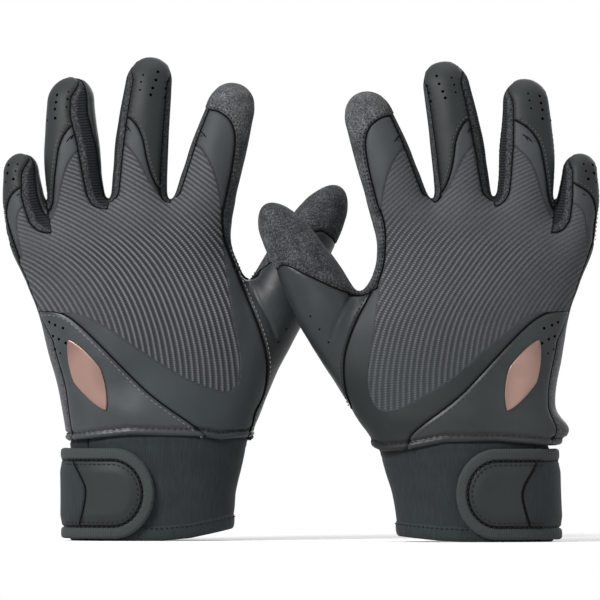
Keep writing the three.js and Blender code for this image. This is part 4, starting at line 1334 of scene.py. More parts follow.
def make_object(glove, sheet, name, material):
    """A mesh object of a sheet, placed in the frame."""
    points = glove.to_world(sheet.points)
    triangles = sheet.triangles
    normals = sheet.values.get("normal")
    if normals is None:
        normals = sheet.normals()
    if glove.flip < 0:
        triangles = triangles[:, ::-1]
        normals = normals * [-1, 1, 1]
    mesh = bpy.data.meshes.new(name)
    mesh.vertices.add(len(points))
    mesh.vertices.foreach_set("co", points.astype(np.float32).ravel())
    mesh.loops.add(triangles.size)
    mesh.loops.foreach_set("vertex_index", triangles.astype(np.int32).ravel())
    mesh.polygons.add(len(triangles))
    mesh.polygons.foreach_set("loop_start", np.arange(0, triangles.size, 3, dtype=np.int32))
    mesh.update(calc_edges=True)
    mesh.polygons.foreach_set("use_smooth", np.ones(len(triangles), bool))
    rest = mesh.attributes.new("rest", "FLOAT_VECTOR", "POINT")
    rest.data.foreach_set("vector", sheet.points.astype(np.float32).ravel())
    for key, value in sheet.values.items():
        if value.ndim == 1:
            store = mesh.attributes.new(key, "FLOAT", "POINT")
            store.data.foreach_set("value", value.astype(np.float32))
    lengths = np.linalg.norm(normals, axis=1, keepdims=True)
    normals = np.where(lengths > 1e-6, normals / np.maximum(lengths, 1e-6), [0, 0, 1.0])
    mesh.normals_split_custom_set_from_vertices(normals.astype(np.float32))
    mesh.materials.append(MATERIALS[material])
    obj = bpy.data.objects.new(name, mesh)
    bpy.context.scene.collection.objects.link(obj)
    SLOT_OF.get(material, material)
    return obj


def finger_body(side, name):
    return f"{side}_thumb" if name == "thumb" else f"{side}_{name}_finger"


FINGER_BEND = 13.0


def blend_ends(glove, finger):
    """Start and end of the bend at a finger's base."""
    end = finger.origin + finger.w * FINGER_BEND
    return [tuple(glove.to_world(p)) for p in (finger.origin, end)]


def dress(glove, sheet, name, material, stands_for=None):
    """Makes a sheet's pieces: one that rides on the hand and one for each finger, cut off at the
    finger's base. stands_for maps "hand" or a finger's name to CAD nodes."""
    if "normal" not in sheet.values:
        sheet.values["normal"] = sheet.normals()
    stands_for = stands_for or {}
    made = {}
    rest = sheet
    for k, finger in enumerate(glove.fingers):
        if not len(rest.triangles):
            break
        _, distances = glove.nearest(rest.points)
        others = np.delete(distances, k, 0).min(0)
        along = finger.coordinates(*rest.points.T)[2]
        field = np.minimum(along, others - distances[k])
        part, rest, _ = cut(rest, field)
        if not len(part.triangles):
            continue
        obj = make_object(glove, part, f"{glove.side}_{finger.name}_{name}", material)
        start, end = blend_ends(glove, finger)
        finger_body(glove.side, finger.name)
        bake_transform(obj)
        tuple(start)
        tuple(end)
        made[finger.name] = obj
    if len(rest.triangles):
        obj = make_object(glove, rest, f"{glove.side}_hand_{name}", material)
        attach(obj, f"{glove.side}_hand")
        made["hand"] = obj
    for place, nodes in stands_for.items():
        if place in made:
            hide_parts(*nodes)
    return made


TUBE_END_SHARE = 0.2


def tube(line, normals, radius, sides=6):
    """A thin tube along a line."""
    tangent = unit(np.gradient(line, axis=0))
    across = unit(np.cross(normals, tangent))
    up = np.cross(tangent, across)
    angle = np.linspace(0, 2 * np.pi, sides, endpoint=False)[None, :, None]
    ring = np.cos(angle) * across[:, None] + np.sin(angle) * up[:, None]
    radii = np.full(len(line), radius)
    radii[[0, -1]] = radius * TUBE_END_SHARE
    points = line[:, None] + ring * radii[:, None, None]
    return grid_sheet(points, wrap=True)


STITCH_ARCH = 1.2


def arch(count, radius):
    """How high a stitch rises between its ends."""
    return np.sin(np.linspace(0, 1, count) * np.pi) ** 0.5 * radius * STITCH_ARCH


def stitches(glove, line, pitch, length, radius, lift):
    """Stitches along a line on the surface."""
    step = pitch / 6
    even = resample(line, step)
    each = max(int(round(length / step)), 2)
    made = []
    normals = glove.normals(even)
    even = even + normals * soft_form(glove, even)[:, None]
    for start in range(2, len(even) - each - 1, 6):
        part, up = (rows[start:start + each + 1] for rows in (even, normals))
        height = lift - radius * 0.8 + arch(len(part), radius)
        made.append(tube(part + up * height[:, None], up, radius, 5))
    return made


def beside(glove, line, shift, towards):
    """A line moved sideways over the surface, to the side where a field grows."""
    even = resample(line, 0.8)
    side = np.cross(glove.normals(even), unit(np.gradient(even, axis=0)))
    sign = np.sign(np.median(towards(even + side * 0.6) - towards(even - side * 0.6)))
    return glove.settle(even + side * sign * shift)


# Depths at which the skin is looked for, from the viewer
CAST_DEPTHS = np.linspace(-60, 30, 361)


def cast(glove, place, palm=False):
    """The point on the back of the glove, or on its palm, at a place of the photograph."""
    y = -CAST_DEPTHS if palm else CAST_DEPTHS
    points = np.stack([np.full_like(y, place[0]), y, np.full_like(y, place[1])], 1)
    inside = glove.at(points) < 0
    if not inside.any():
        return None
    first = inside.argmax()
    return glove.settle(points[first][None])[0]


# One glove


# The room in which a glove's skin is worked out, the depth of its distances, and the lining
SKIN_BOX = np.array([[-72.0, -34.0, 38.0], [100.0, 42.0, 224.0]])
SKIN_MIDDLE = np.array([0.0, 0, 110])
SKIN_BAND = 4.0
LINING_VOXEL, LINING_DEPTH, LINING_BOTTOM = 2.4, 1.5, 46.5


def level_surface(glove, voxel, depth):
    """The surface that lies that deep under the glove's skin."""
    low, high = SKIN_BOX
    count = np.ceil((high - low) / voxel).astype(int)
    x, y, z = (low[k] + voxel * np.arange(count[k]) for k in range(3))
    values = glove.distance(x[:, None, None], y[None, :, None], z[None, None, :]) + depth
    values = np.clip(values, -SKIN_BAND, SKIN_BAND).astype(np.float32)
    grid = openvdb.FloatGrid(SKIN_BAND)
    grid.copyFromArray(np.ascontiguousarray(values))
    points, quads = (np.asarray(part) for part in grid.convertToQuads(isovalue=0.0))
    triangles = np.vstack([quads[:, [0, 1, 2]], quads[:, [0, 2, 3]]])
    return outward(Sheet(points.astype(float) * voxel + low, triangles), SKIN_MIDDLE)


def base_surface(glove):
    """The glove's whole skin as one sheet, open at the bottom."""
    sheet = level_surface(glove, VOXEL, 0)
    heights = sheet.points[sheet.triangles][:, :, 2]
    keep = (heights > SKIN_BOX[0, 2] + 2 * VOXEL).all(1)
    sheet = Sheet(sheet.points, sheet.triangles[keep]).compact()
    sheet.points = glove.settle(sheet.points)
    return sheet


def lining(glove):
    """The lining that shows inside the cuff's mouth."""
    sheet = level_surface(glove, LINING_VOXEL, LINING_DEPTH).turned()
    return cut(sheet, sheet.points[:, 2] - LINING_BOTTOM)[0]


def rib_values(side, drawn, points):
    """The ribs' count from their middle, how fine they are, their height and strength."""
    away = drawn - RIB_CENTRE
    radius = np.hypot(*away.T) + RIB_WANDER * noise(points, RIB_WANDER_SIZE, 5)
    narrowing = 1 + RIB_NARROWING[side] * np.arctan2(away[:, 1], away[:, 0])
    level = drawn[:, 1] - RIB_LEAN * drawn[:, 0]
    crowded = CROWDING_SOFTNESS * np.logaddexp(0, (level - CROWDED_FROM) / CROWDING_SOFTNESS)
    phase = (radius - RIB_START) / RIB_PITCH * narrowing + RIB_CROWDING[side] * crowded
    fine = smooth_step(level, *FINE_RIBS)
    wave = 0.5 + 0.5 * np.cos(2 * np.pi * phase)
    near = smooth_step(radius, RIB_START, FULL_RIBS_FROM)
    strength = RIB_STRENGTH[side] * (0.5 + 0.5 * near)
    return phase, fine, wave ** 1.4 * (1 - fine) + wave ** 0.8 * fine, strength


def glove_panels(glove):
    """Cuts the skin along its seams and dresses each panel."""
    side = glove.side
    skin = base_surface(glove)
    skin, _, _ = cut(skin, above_edge(side, skin.points))
    points = skin.points
    drawn = glove.drawn(points)
    back, front = back_and_front(glove, points)
    nearest, _ = glove.nearest(points)
    along = np.zeros(len(points))
    for k, finger in enumerate(glove.fingers):
        t = finger.coordinates(*points.T)[2]
        along = np.where(nearest == k, t, along)
    skin.values.update(
        back=back, front=front, drawn=drawn, along=along,
        above_edge=above_edge(side, points),
        suede=suede_field(glove, points, drawn),
        normal0=glove.normals(points), tip=tip_field(nearest, drawn),
        **{name: polygon_field(glove.outline(name), drawn) for name in ("ribs", "heel", "radial")},
    )
    seams = {}
    palm, rest, seams["front"] = cut(skin, skin.values["front"])
    dorsal, gusset, seams["back"] = cut(rest, rest.values["back"])
    cap, dorsal, seams["suede"] = cut(dorsal, dorsal.values["suede"])
    radial, dorsal, seams["radial"] = cut(dorsal, dorsal.values["radial"])
    heel, dorsal, seams["heel"] = cut(dorsal, dorsal.values["heel"])
    tip, dorsal, seams["tip"] = cut(dorsal, dorsal.values["tip"])
    ribs, smooth, seams["ribs"] = cut(dorsal, dorsal.values["ribs"])
    side_cap, gusset, _ = cut(gusset, gusset.values["suede"])

    panels = {
        "palm": (palm, "palm_leather", ("front",), 0.1, 0.5),
        "gusset": (gusset, "gusset_knit", ("front", "back"), -0.25, 0.3),
        "side_suede": (side_cap, "suede", ("front",), 0.15, 0.4),
        "suede": (cap, "suede", ("suede",), 0.35, 0.6),
        "radial": (radial, "thumb_leather", ("back", "radial", "suede"), 0.1, 0.6),
        "heel": (heel, HEEL_LEATHER[side], ("back", "heel"), 0.4, 0.7),
        "tip": (tip, "tip_leather", ("back", "tip"), 0.3, 0.6),
        "ribs": (ribs, "ribbed_knit", ("back", "ribs", "suede"), 0.0, 0.5),
        "smooth": (smooth, PLAIN_TEXTILE[side], ("back", "ribs", "heel", "radial", "tip", "suede"),
                   0.0, 0.5),
    }
    stands = {
        "palm": {"hand": [f"{side}_palm_panel"],
                 **{f: [f"{side}_{f}_front"] for f in FINGERS}},
        "gusset": {f: [f"{side}_{f}_gusset"] for f in TIP_PANEL_FINGERS},
        "side_suede": {f: [f"{side}_{f}_gusset"] for f in ("index", "thumb")},
        "suede": {"thumb": [f"{side}_thumb_back"]},
        "radial": {"hand": [f"{side}_thumb_panel"]},
        "heel": {"hand": [f"{side}_heel_panel"]},
        "tip": {f: [f"{side}_{f}_tip_panel"] for f in TIP_PANEL_FINGERS},
        "ribs": {"hand": [f"{side}_back_panel"],
                 **{f: [f"{side}_{f}_back"] for f in TIP_PANEL_FINGERS}},
        "smooth": {"index": [f"{side}_index_back"]},
    }
    for name, (sheet, material, edges, offset, groove) in panels.items():
        if not len(sheet.triangles):
            continue
        if name == "ribs":
            sheet = subdivide(sheet)
            sheet.points = glove.settle(sheet.points, 1)
        sheet = shape_panel(glove, sheet, name, edges, offset, groove)
        dress(glove, sheet, name, material, stands[name])
    return seams


# Slow waves all over the skin: height, size and seed
SKIN_WAVES = [(0.3, 17, 1), (0.1, 6, 2)]
# Puffs show on the back only, from and to these depths towards the viewer
PUFFS_FROM_DEPTH = (0, 8)


def soft_form(glove, points, drawn=None):
    """The skin's own unevenness: slow waves all over and puffs on the back."""
    if drawn is None:
        drawn = glove.drawn(points)
    rise = sum(height * noise(points, size, seed) for height, size, seed in SKIN_WAVES)
    on_back = smooth_step(-points[:, 1], *PUFFS_FROM_DEPTH)
    for middle, (reach_x, reach_z), height in PUFFS:
        x, z = photo_to_glove([middle])[0]
        far = ((drawn[:, 0] - x) / reach_x) ** 2 + ((drawn[:, 1] - z) / reach_z) ** 2
        rise = rise + height * np.exp(-far) * on_back
    return rise


# Creases across a finger: where they are along it, how wide, and where they end sideways
CREASE_SHARES, CREASE_REACH, CREASE_SIDES = (0.28, 0.62), 1.3, (0.45, 0.85)


def finger_creases(glove, points, depth):
    """Folds across the fingers on the palm's side."""
    rise = 0.0
    for finger in glove.fingers:
        a, _, t = finger.coordinates(*points.T)
        width = finger.width(t)
        for share in CREASE_SHARES:
            bent = t - share * finger.length + 0.03 * a * a / 4
            inner = 1 - smooth_step(np.abs(a) / width, *CREASE_SIDES)
            rise = rise - depth * bell(bent, 0, CREASE_REACH) * inner
    return rise


# The palm's patch: its height, the groove inside its edge and the painted shade along it, then
# the palm's folds
PATCH_HEIGHT, PATCH_GROOVE_DEPTH = 0.55, 0.5
PATCH_GROOVE, PATCH_SHADE = (1.7, 0.5), (-0.5, 0.5)
FOLD_DEPTH, FOLD_REACH = 0.7, 1.6


def palm_form(glove, sheet):
    """The palm's raised patch with its groove and soft folds, and painted shade along the patch's
    groove.
    """
    x, y, z = sheet.points.T
    places = np.stack([x - drawn_shift(glove.side, z), z], 1)
    inside = polygon_field(PALM_OUTLINE, places)
    on_palm = smooth_step(y, 4, 10)
    rise = PATCH_HEIGHT * smooth_step(inside, -0.5, 0.5)
    rise = rise - PATCH_GROOVE_DEPTH * bell(inside, *PATCH_GROOVE)
    # painted shade along the patch's groove
    groove = bell(inside, *PATCH_SHADE)
    for fold in PALM_FOLDS:
        away = line_distance(np.array(fold, float), places)
        rise = rise - FOLD_DEPTH * bell(away, 0, FOLD_REACH)
    return rise * on_palm, groove * on_palm


# What stands out or falls in along the hand's lower edge: height, where it lies, and reach,
# and the same for the painted shade in its groove
HEM_RELIEF = [(-0.95, 3.4, 0.7), (-0.8, 0.0, 0.8), (0.55, 1.5, 1.3)]
HEM_SHADE = (0.95, 3.4, 0.8)
# Small gathers: height, pitch, where they lie and reach, at seams and at the lower edge
SEAM_GATHERS, HEM_GATHERS = (0.1, 2.4, 0.9, 0.9), (0.1, 2.5, 3.4, 1.6)
GATHERS_FROM = 120
# The line where ribs and plain textile meet: its reach and depth, and how strong it is low on
# the hand and how much stronger above; the line also carries painted shade
MOULDED_REACH, MOULDED_DEPTH, MOULDED_LOW, MOULDED_MORE = 0.6, 0.3, 0.15, 0.5
MOULDED_RISE = (118, 134)
# How far the seams' groove reaches, and how far the painted shade along them
SEAM_REACH, SEAM_SHADE_REACH = 0.8, 0.65
CREASE_DEPTH = 0.7
# The ribs' level, their height in the broad and in the fine zone, how they fade towards seams,
# and the radius of the circle along which their beads are counted
RIB_LEVEL, RIB_HEIGHT, FINE_RIB_HEIGHT = 0.4, 0.48, 0.22
RIB_FADE = (0.1, 0.9)
BEAD_RADIUS = 110
# Heights between which the textile's tone changes
LOWER_HAND = (70, 112)
PANEL_EDGE_DEPTH = 0.8
MATERIAL_VALUES = {"along", "lower", "strip", "phase", "fine", "fade", "beads", "cavity"}
# Ovals that stand for the hand and the cuff: half width, half depth and radius on average
HAND_OVAL, HAND_OVAL_MIDDLE = (41, 24, 33), 4
CUFF_OVAL = (38, 24, 31.0)


def distance_round(points, middle, oval):
    """Distance round an oval tube."""
    half_width, half_depth, radius = oval
    return np.arctan2(points[:, 1] / half_depth, (points[:, 0] - middle) / half_width) * radius


def gathers(distance, along, height, pitch, middle, reach):
    """Small waves along a seam."""
    return height * np.sin(along * 2 * np.pi / pitch) * bell(distance, middle, reach)


def shape_panel(glove, sheet, name, edges, offset, groove):
    """Moves a panel's points along its normals: seams, ribs, folds and creases."""
    values = sheet.values
    points, drawn = sheet.points, values["drawn"]
    normal = unit(values["normal0"])
    edge = np.min([np.abs(values[key]) for key in edges], axis=0)
    sewn = np.min([np.abs(values[key]) for key in edges if key != "ribs"], axis=0)
    upper = MOULDED_LOW + MOULDED_MORE * smooth_step(points[:, 2], *MOULDED_RISE)
    moulded = bell(values["ribs"], 0, MOULDED_REACH) * upper * (name in ("ribs", "smooth"))
    rise = offset - groove * bell(sewn, 0, SEAM_REACH) + soft_form(glove, points, drawn)
    rise = rise - MOULDED_DEPTH * moulded
    rise = rise + gathers(sewn, values["along"], *SEAM_GATHERS) * (points[:, 2] > GATHERS_FROM)
    low = values["above_edge"]
    around = distance_round(points, HAND_OVAL_MIDDLE, HAND_OVAL)
    rise = rise + gathers(low, around, *HEM_GATHERS)
    rise = rise + sum(height * bell(low, *spot) for height, *spot in HEM_RELIEF)
    if name in ("radial", "smooth", "palm"):
        fade = 1 - smooth_step(drawn[:, 0], *THUMB_FOLD_FADE)
        rise = rise - THUMB_FOLD_DEPTH * bell(line_distance(THUMB_FOLD, drawn), 0, 1) * fade
    painted_patch_shade = np.zeros(len(points))
    if name == "palm":
        raised, painted_patch_shade = palm_form(glove, sheet)
        rise = rise + finger_creases(glove, points, CREASE_DEPTH) + raised
    if name == "ribs":
        phase, fine, ridge, strength = rib_values(glove.side, drawn, points)
        fade = smooth_step(edge, *RIB_FADE) * strength
        away = drawn - RIB_CENTRE
        values.update(phase=phase, fine=fine, fade=fade,
                      beads=np.arctan2(away[:, 1], away[:, 0]) * BEAD_RADIUS)
        height = RIB_HEIGHT * (1 - fine) + FINE_RIB_HEIGHT * fine
        rise = rise + (ridge - RIB_LEVEL) * fade * height
    values["lower"] = 1 - smooth_step(points[:, 2], *LOWER_HAND)
    values["strip"] = strip_and_top_light_share(glove, sheet, name)
    # Painted shade: darker along the seams, in the groove over the hand's lower edge, along the
    # line where ribs meet plain textile and in the palm patch's groove
    hem = HEM_SHADE[0] * bell(low, *HEM_SHADE[1:])
    shade = bell(sewn, 0, SEAM_SHADE_REACH)
    values["cavity"] = np.max([shade, 0.7 * moulded, hem, painted_patch_shade], axis=0)
    sheet.points = points + normal * rise[:, None]
    sheet.values = {key: value for key, value in values.items() if key in MATERIAL_VALUES}
    sheet.edge_walls(PANEL_EDGE_DEPTH)
    sheet.values["normal"] = sheet.normals()
    return sheet


# Where the suede is painted lighter upwards, as painted light on the index finger's top, where
# the side walls' strip ends from their edge, and the hand's outer strip: how far from the hand's
# middle, its width and where it ends upwards
SUEDE_TOP_LIGHT = (172, 192)
WALL_STRIP = (2.6, 3.4)
OUTER_STRIP = dict(inset=22, width=(8, 9), up=(84, 116))


def strip_and_top_light_share(glove, sheet, name):
    """1 on the coarse strips, along the side walls' edges and the hand's outer edge, and on the
    suede over the index finger's tip, where it stands for painted light from above."""
    if name == "suede":
        return smooth_step(sheet.points[:, 2], *SUEDE_TOP_LIGHT)
    if name == "gusset":
        return 1 - smooth_step(-sheet.values["back"], *WALL_STRIP)
    if name == "palm":
        x, _, z = sheet.points.T
        outer = smooth_step(hand_form(glove.side, z)[0] - OUTER_STRIP["inset"] - x, 0, 3)
        near = 1 - smooth_step(sheet.values["front"], *OUTER_STRIP["width"])
        return outer * near * (1 - smooth_step(z, *OUTER_STRIP["up"]))
    return np.zeros(len(sheet.points))


def runs(keep, *lines):
    """The stretches of lines where keep holds."""
    cuts = np.flatnonzero(np.diff(keep.astype(int))) + 1
    parts = zip(np.split(keep, cuts), *(np.split(line, cuts) for line in lines))
    return [part for kept, *part in parts if kept[0] and len(kept) > 6]


# Sewing lines in the seams: how thick they are
SEAM_CORDS = {"heel": 0.36, "radial": 0.5, "tip": 0.4, "suede": 0.4, "back": 0.26,
              "front": 0.28, "ribs": 0.14}
SEAM_DEPTH, RIB_SEAM_DEPTH = 0.3, 0.42
# Rows of stitches beside seams: their thread, how far from the seam each row lies, then the
# stitches' spacing, length, thickness and height
STITCH_ROWS = {
    "heel": ("light", (1.7,), (2.5, 1.55, 0.24, 0.4)),
    "radial": ("light", (1.5,), (2.2, 1.3, 0.27, 0.25)),
    "tip": ("faint", (1.3,), (1.9, 1.0, 0.2, 0.25)),
    "suede": ("dark", (1.0, 2.7), (1.9, 1.1, 0.28, 0.3)),
}
PATCH_STITCHES = (2.5, 1.5, 0.24, 0.3)
HEM_LINE_STITCHES = (2.5, 1.5, 0.26, -0.35)
DART_RADIUS, DART_LIFT, PATCH_CORD_RADIUS = 0.26, 0.05, 0.3
PATCH_CORD_INSET, PATCH_STITCH_INSET = -0.4, 1.7


def seam_threads(glove, seams):
    """Sewing lines in the seams and rows of stitches beside them, by thread."""
    fields = {
        "heel": lambda p: polygon_field(glove.outline("heel"), glove.drawn(p)),
        "radial": lambda p: polygon_field(glove.outline("radial"), glove.drawn(p)),
        "tip": lambda p: tip_field(glove.nearest(p)[0], glove.drawn(p)),
        "suede": lambda p: suede_field(glove, p, glove.drawn(p)),
    }
    threads = {"cord": [], "light": [], "faint": [], "dark": []}
    for name, radius in SEAM_CORDS.items():
        for line in lines_of(seams[name]):
            even = resample(line, 0.9)
            normals = glove.normals(even)
            is_ribs = name == "ribs"
            depth = RIB_SEAM_DEPTH if is_ribs else SEAM_DEPTH
            keep = even[:, 2] > RIB_SEAM_FROM if is_ribs else np.ones(len(even), bool)
            sunk = even - normals * (depth - soft_form(glove, even)[:, None])
            for part, up in runs(keep, sunk, normals):
                threads["cord"].append(tube(part, up, radius, 6))
            if name in STITCH_ROWS:
                thread, insets, sizes = STITCH_ROWS[name]
                for inset in insets:
                    row = beside(glove, line, inset, fields[name])
                    threads[thread] += stitches(glove, row, *sizes)
    for dart in DART_PIXELS:
        spots = [cast(glove, undrawn(glove, spot)) for spot in photo_to_glove(dart)]
        line = resample(np.array(spots), 0.4, 1)
        threads["cord"].append(surface_cord(glove, line, DART_RADIUS, DART_LIFT))
    line = patch_ring(glove, PATCH_CORD_INSET)
    threads["cord"].append(surface_cord(glove, line, PATCH_CORD_RADIUS, 0))
    threads["faint"] += stitches(glove, patch_ring(glove, PATCH_STITCH_INSET), *PATCH_STITCHES)
    for line in hem_lines(glove):
        threads["dark"] += stitches(glove, line, *HEM_LINE_STITCHES)
    return threads


# The row of stitches above the hand's lower edge: how far above, and the oval it starts from
HEM_LINE_RISE, HEM_LINE_POINTS = 3.2, 400
HEM_LINE_START = dict(height=48.0, across=42, depth=25)


def hem_lines(glove):
    """The stitch line above the hand's lower edge."""
    start = HEM_LINE_START
    angle = np.linspace(0, 2 * np.pi, HEM_LINE_POINTS)
    across = hand_form(glove.side, start["height"])[0] + start["across"] * np.cos(angle)
    ring = np.stack([across, start["depth"] * np.sin(angle),
                     np.full(HEM_LINE_POINTS, start["height"])], 1)
    for _ in range(3):
        ring = glove.settle(ring)
        ring[:, 2] = ring[:, 2] - above_edge(glove.side, ring) + HEM_LINE_RISE
    return [resample(line, 0.8) for line in lines_of(np.stack([ring[:-1], ring[1:]], 1))]


def surface_cord(glove, line, radius, lift):
    """A thread that lies on the surface along a line."""
    normals = glove.normals(line)
    return tube(line + normals * (soft_form(glove, line)[:, None] + lift), normals, radius, 6)


def patch_ring(glove, inset):
    """A line round the palm's patch, that far inside its seam."""
    ring = PALM_OUTLINE + unit(PALM_OUTLINE.mean(0) - PALM_OUTLINE) * inset
    ring = np.vstack([ring, ring[:1]])
    ring[:, 0] += drawn_shift(glove.side, ring[:, 1])
    return resample(np.array([cast(glove, place, palm=True) for place in ring]), 0.8)


def tip_field(nearest, drawn):
    """Inside the tip panel of the finger that each point is on."""
    field = np.full(len(drawn), FAR_OUTSIDE)
    for name in TIP_PANEL_FINGERS:
        own = polygon_field(OUTLINES[f"{name}_tip"], drawn)
        field = np.where(nearest == list(FINGERS).index(name), own, field)
    return field


HOLE_RADIUS = {"large": 0.62, "small": 0.42}
# A hole's rings: their share of its radius, and how far they stand off the panel
HOLE_RINGS = [(0.02, 0.02), (0.5, 0.04), (0.85, 0.08), (1.0, 0.1), (1.1, 0.0), (1.15, -0.3)]
# How far the tips' panels, the heel and the thumb's leather stand off the skin
HOLE_LEVELS = dict(tip=0.32, heel=0.42, thumb=0.12)
TIPS_FROM = 120


def holes(glove):
    """Round vent holes with a soft rim: black discs on the surface, painted shade for the dark
    inside of each hole.
    """
    made = []
    angle = np.linspace(0, 2 * np.pi, 14, endpoint=False)[:, None]
    for size, radius in HOLE_RADIUS.items():
        for place in photo_to_glove(HOLE_PIXELS[size]):
            point = cast(glove, undrawn(glove, place))
            if point is None:
                continue
            normal = glove.normals(point[None])[0]
            across = unit(np.cross(normal, [0, 0, 1.0]))
            up = np.cross(across, normal)
            panel = "tip" if point[2] > TIPS_FROM else "heel" if point[0] < 0 else "thumb"
            level = soft_form(glove, point[None])[0] + HOLE_LEVELS[panel]
            circle = (np.cos(angle) * across + np.sin(angle) * up) * radius
            rows = [point + circle * share + normal * (level + lift)
                    for share, lift in HOLE_RINGS]
            made.append(outward(grid_sheet(np.array(rows), wrap=True), point - normal * 3))
    return made


def undrawn(glove, place):
    """A place of the left glove's drawing moved to where this glove has it."""
    if glove.side == "left":
        return place
    for finger in glove.fingers:
        relative = place - finger.left_base
        along, a = relative @ finger.left_w, relative @ finger.left_u
        if along > 0 and abs(a) < finger.width(0) + 2:
            t = along / (finger.left_stretch * finger.seen)
            point = finger.origin + finger.u * a + finger.w * t
            return point[[0, 2]]
    return place + [drawn_shift(glove.side, place[1]), 0]


def around_values(sheet):
    """Distance round the cuff's oval, for ribs that follow it."""
    middle = (sheet.points[:, 0].min() + sheet.points[:, 0].max()) / 2
    sheet.values["around"] = distance_round(sheet.points, middle, CUFF_OVAL)
    return sheet


def rim_values(cuff, sheet):
    """Distance round the tab's edge, for the binding's ribs."""
    middle = STRAP_BOTTOM + STRAP_HEIGHT / 2
    up = sheet.points[:, 2] - middle
    past = sheet.points[:, 0] - (cuff.strap_end - STRAP_ROUND)
    over = np.maximum(past, 0)
    angle = np.arctan2(up, np.maximum(over, 1e-3))
    sheet.values["around"] = np.where(over > 0.01, angle * 20.0, 31.4 - np.minimum(past, 0))
    return sheet


EMBLEM = dict(length=18.0, width=6.5, lean=math.radians(28), power=1.35, base=0.4)
# The emblem's rings: their share of its outline, and how high they lie
EMBLEM_RINGS = [(1.0, 0.1), (1.0, 0.75), (0.985, 0.95), (0.94, 1.05), (0.8, 1.08), (0.55, 1.1),
                (0.3, 1.1), (0.002, 1.1)]


def emblem(glove):
    """A plain raised lozenge of metal film on the heel."""
    sweep = np.linspace(0, 2 * np.pi, 96, endpoint=False)
    circle = np.stack([np.cos(sweep), np.sin(sweep)], 1)
    outline = np.sign(circle) * np.abs(circle) ** (2 / EMBLEM["power"])
    outline *= [EMBLEM["width"], EMBLEM["length"]]
    across, up = math.cos(EMBLEM["lean"]), math.sin(EMBLEM["lean"])
    outline = outline @ np.array([[across, up], [-up, across]])
    centre = photo_to_glove([EMBLEM_PIXEL])[0]
    rows = []
    for share, lift in EMBLEM_RINGS:
        ring = np.array([cast(glove, undrawn(glove, spot)) for spot in outline * share + centre])
        height = lift + EMBLEM["base"] + soft_form(glove, ring)
        rows.append(ring + glove.normals(ring) * height[:, None])
    return outward(grid_sheet(np.array(rows), wrap=True), rows[0].mean(0) + [0, 8, 0])


PAD_FACES = {"loop_pad": (0.4, 0.95), "hook_pad": (1.5, 2.1)}
PAD_RAGGED = 0.15


def place(glove, sheet, name, material, body, node=None):
    """A piece that rides on one body, and the node that it stands for."""
    obj = make_object(glove, sheet, f"{glove.side}_{name}", material)
    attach(obj, f"{glove.side}_{body}")
    if node:
        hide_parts(f"{glove.side}_{node}")


def dress_threads(glove, threads):
    """The panels' threads, vent holes and lining."""
    dress(glove, join(threads["cord"]), "sewing", "black_thread")
    dress(glove, join(threads["light"]), "stitches", SEWING_THREAD[glove.side])
    dress(glove, join(threads["faint"]), "grey_stitches", "grey_thread")
    dress(glove, join(threads["dark"]), "dark_stitches", "dark_thread")
    dress(glove, join(holes(glove)), "vents", "hole")
    dress(glove, lining(glove), "lining", "lining")


def place_cuff(glove, cuff):
    """The cuff and the parts of the strap that stay on the hand."""
    band = outward(cuff_band(cuff), cuff.middle)
    place(glove, around_values(band), "cuff_band", "cuff_knit", "hand", "cuff_band")
    hem = outward(cuff_hem(cuff), cuff.middle - [0, 0, 18])
    place(glove, around_values(hem), "cuff_hem", "hem_cloth", "hand", "cuff_hem")
    root = around_values(strap_root(cuff))
    place(glove, root, "strap_root", "cuff_knit", "hand", "strap_root")
    for name, body in (("loop_pad", "hand"), ("hook_pad", "strap")):
        cloth = pad(cuff, *PAD_FACES[name], PAD_RAGGED)
        place(glove, cloth, name, "hook_and_loop", body, name)


def place_strap(glove, cuff):
    """The strap's tab in its three materials, and the elastic where the tab peels off."""
    tab = strap_tab(cuff)
    face, rim, _ = cut(tab, tab.values["edge"] - STRAP_RIM)
    patch, elastic, _ = cut(face, face.values["patch"])
    place(glove, rim_values(cuff, rim), "strap_binding", "binding", "strap", "strap_tab")
    place(glove, patch, "strap_patch", "strap_leather", "strap", "strap_patch")
    place(glove, around_values(elastic), "strap_elastic", "strap_knit", "strap")
    sheet = around_values(strap_bend(cuff))
    bend = make_object(glove, sheet, f"{glove.side}_strap_bend", "strap_knit")
    joint = cuff.point(np.pi, STRAP_MIDDLE_HEIGHT, STRAP_INNER)
    start, end = (tuple(glove.to_world(joint + [0, y, 0])) for y in (BEND_TURN, -BEND_TURN))
    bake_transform(bend)
    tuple(start)
    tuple(end)


def build(side):
    glove, cuff = Glove(side), Cuff(side)
    seams = glove_panels(glove)
    dress_threads(glove, seam_threads(glove, seams))
    place_cuff(glove, cuff)
    place(glove, emblem(glove), "emblem", "rose_film", "hand", "emblem")
    place_strap(glove, cuff)
    for sheet, name, material, body in cuff_threads(cuff):
        place(glove, sheet, name, material, body)


def flat_stitches(line, normals, pitch, length, radius, lift):
    """Stitches along a line that lies on the cuff or strap."""
    gaps = np.linalg.norm(np.diff(line, axis=0), axis=1)
    total = np.concatenate([[0], np.cumsum(gaps)])
    made = []
    for start in np.arange(0.6, total[-1] - length, pitch):
        at = np.linspace(start, start + length, 6)
        part = np.stack([np.interp(at, total, line[:, k]) for k in range(3)], 1)
        up = np.stack([np.interp(at, total, normals[:, k]) for k in range(3)], 1)
        height = lift - radius * 0.6 + arch(len(part), radius)
        made.append(tube(part + up * height[:, None], up, radius, 5))
    return made


HEM_STITCHES, STRAP_STITCHES = (2.3, 1.5, 0.26, 0.1), (2.4, 1.5, 0.24, 0.1)
HEM_STITCH_HEIGHT, HEM_STITCH_OFFSET, HEM_STITCH_ENDS = 5.6, 0.8, (0.5, 0.75)
STRAP_ROW_GAP = 1.9
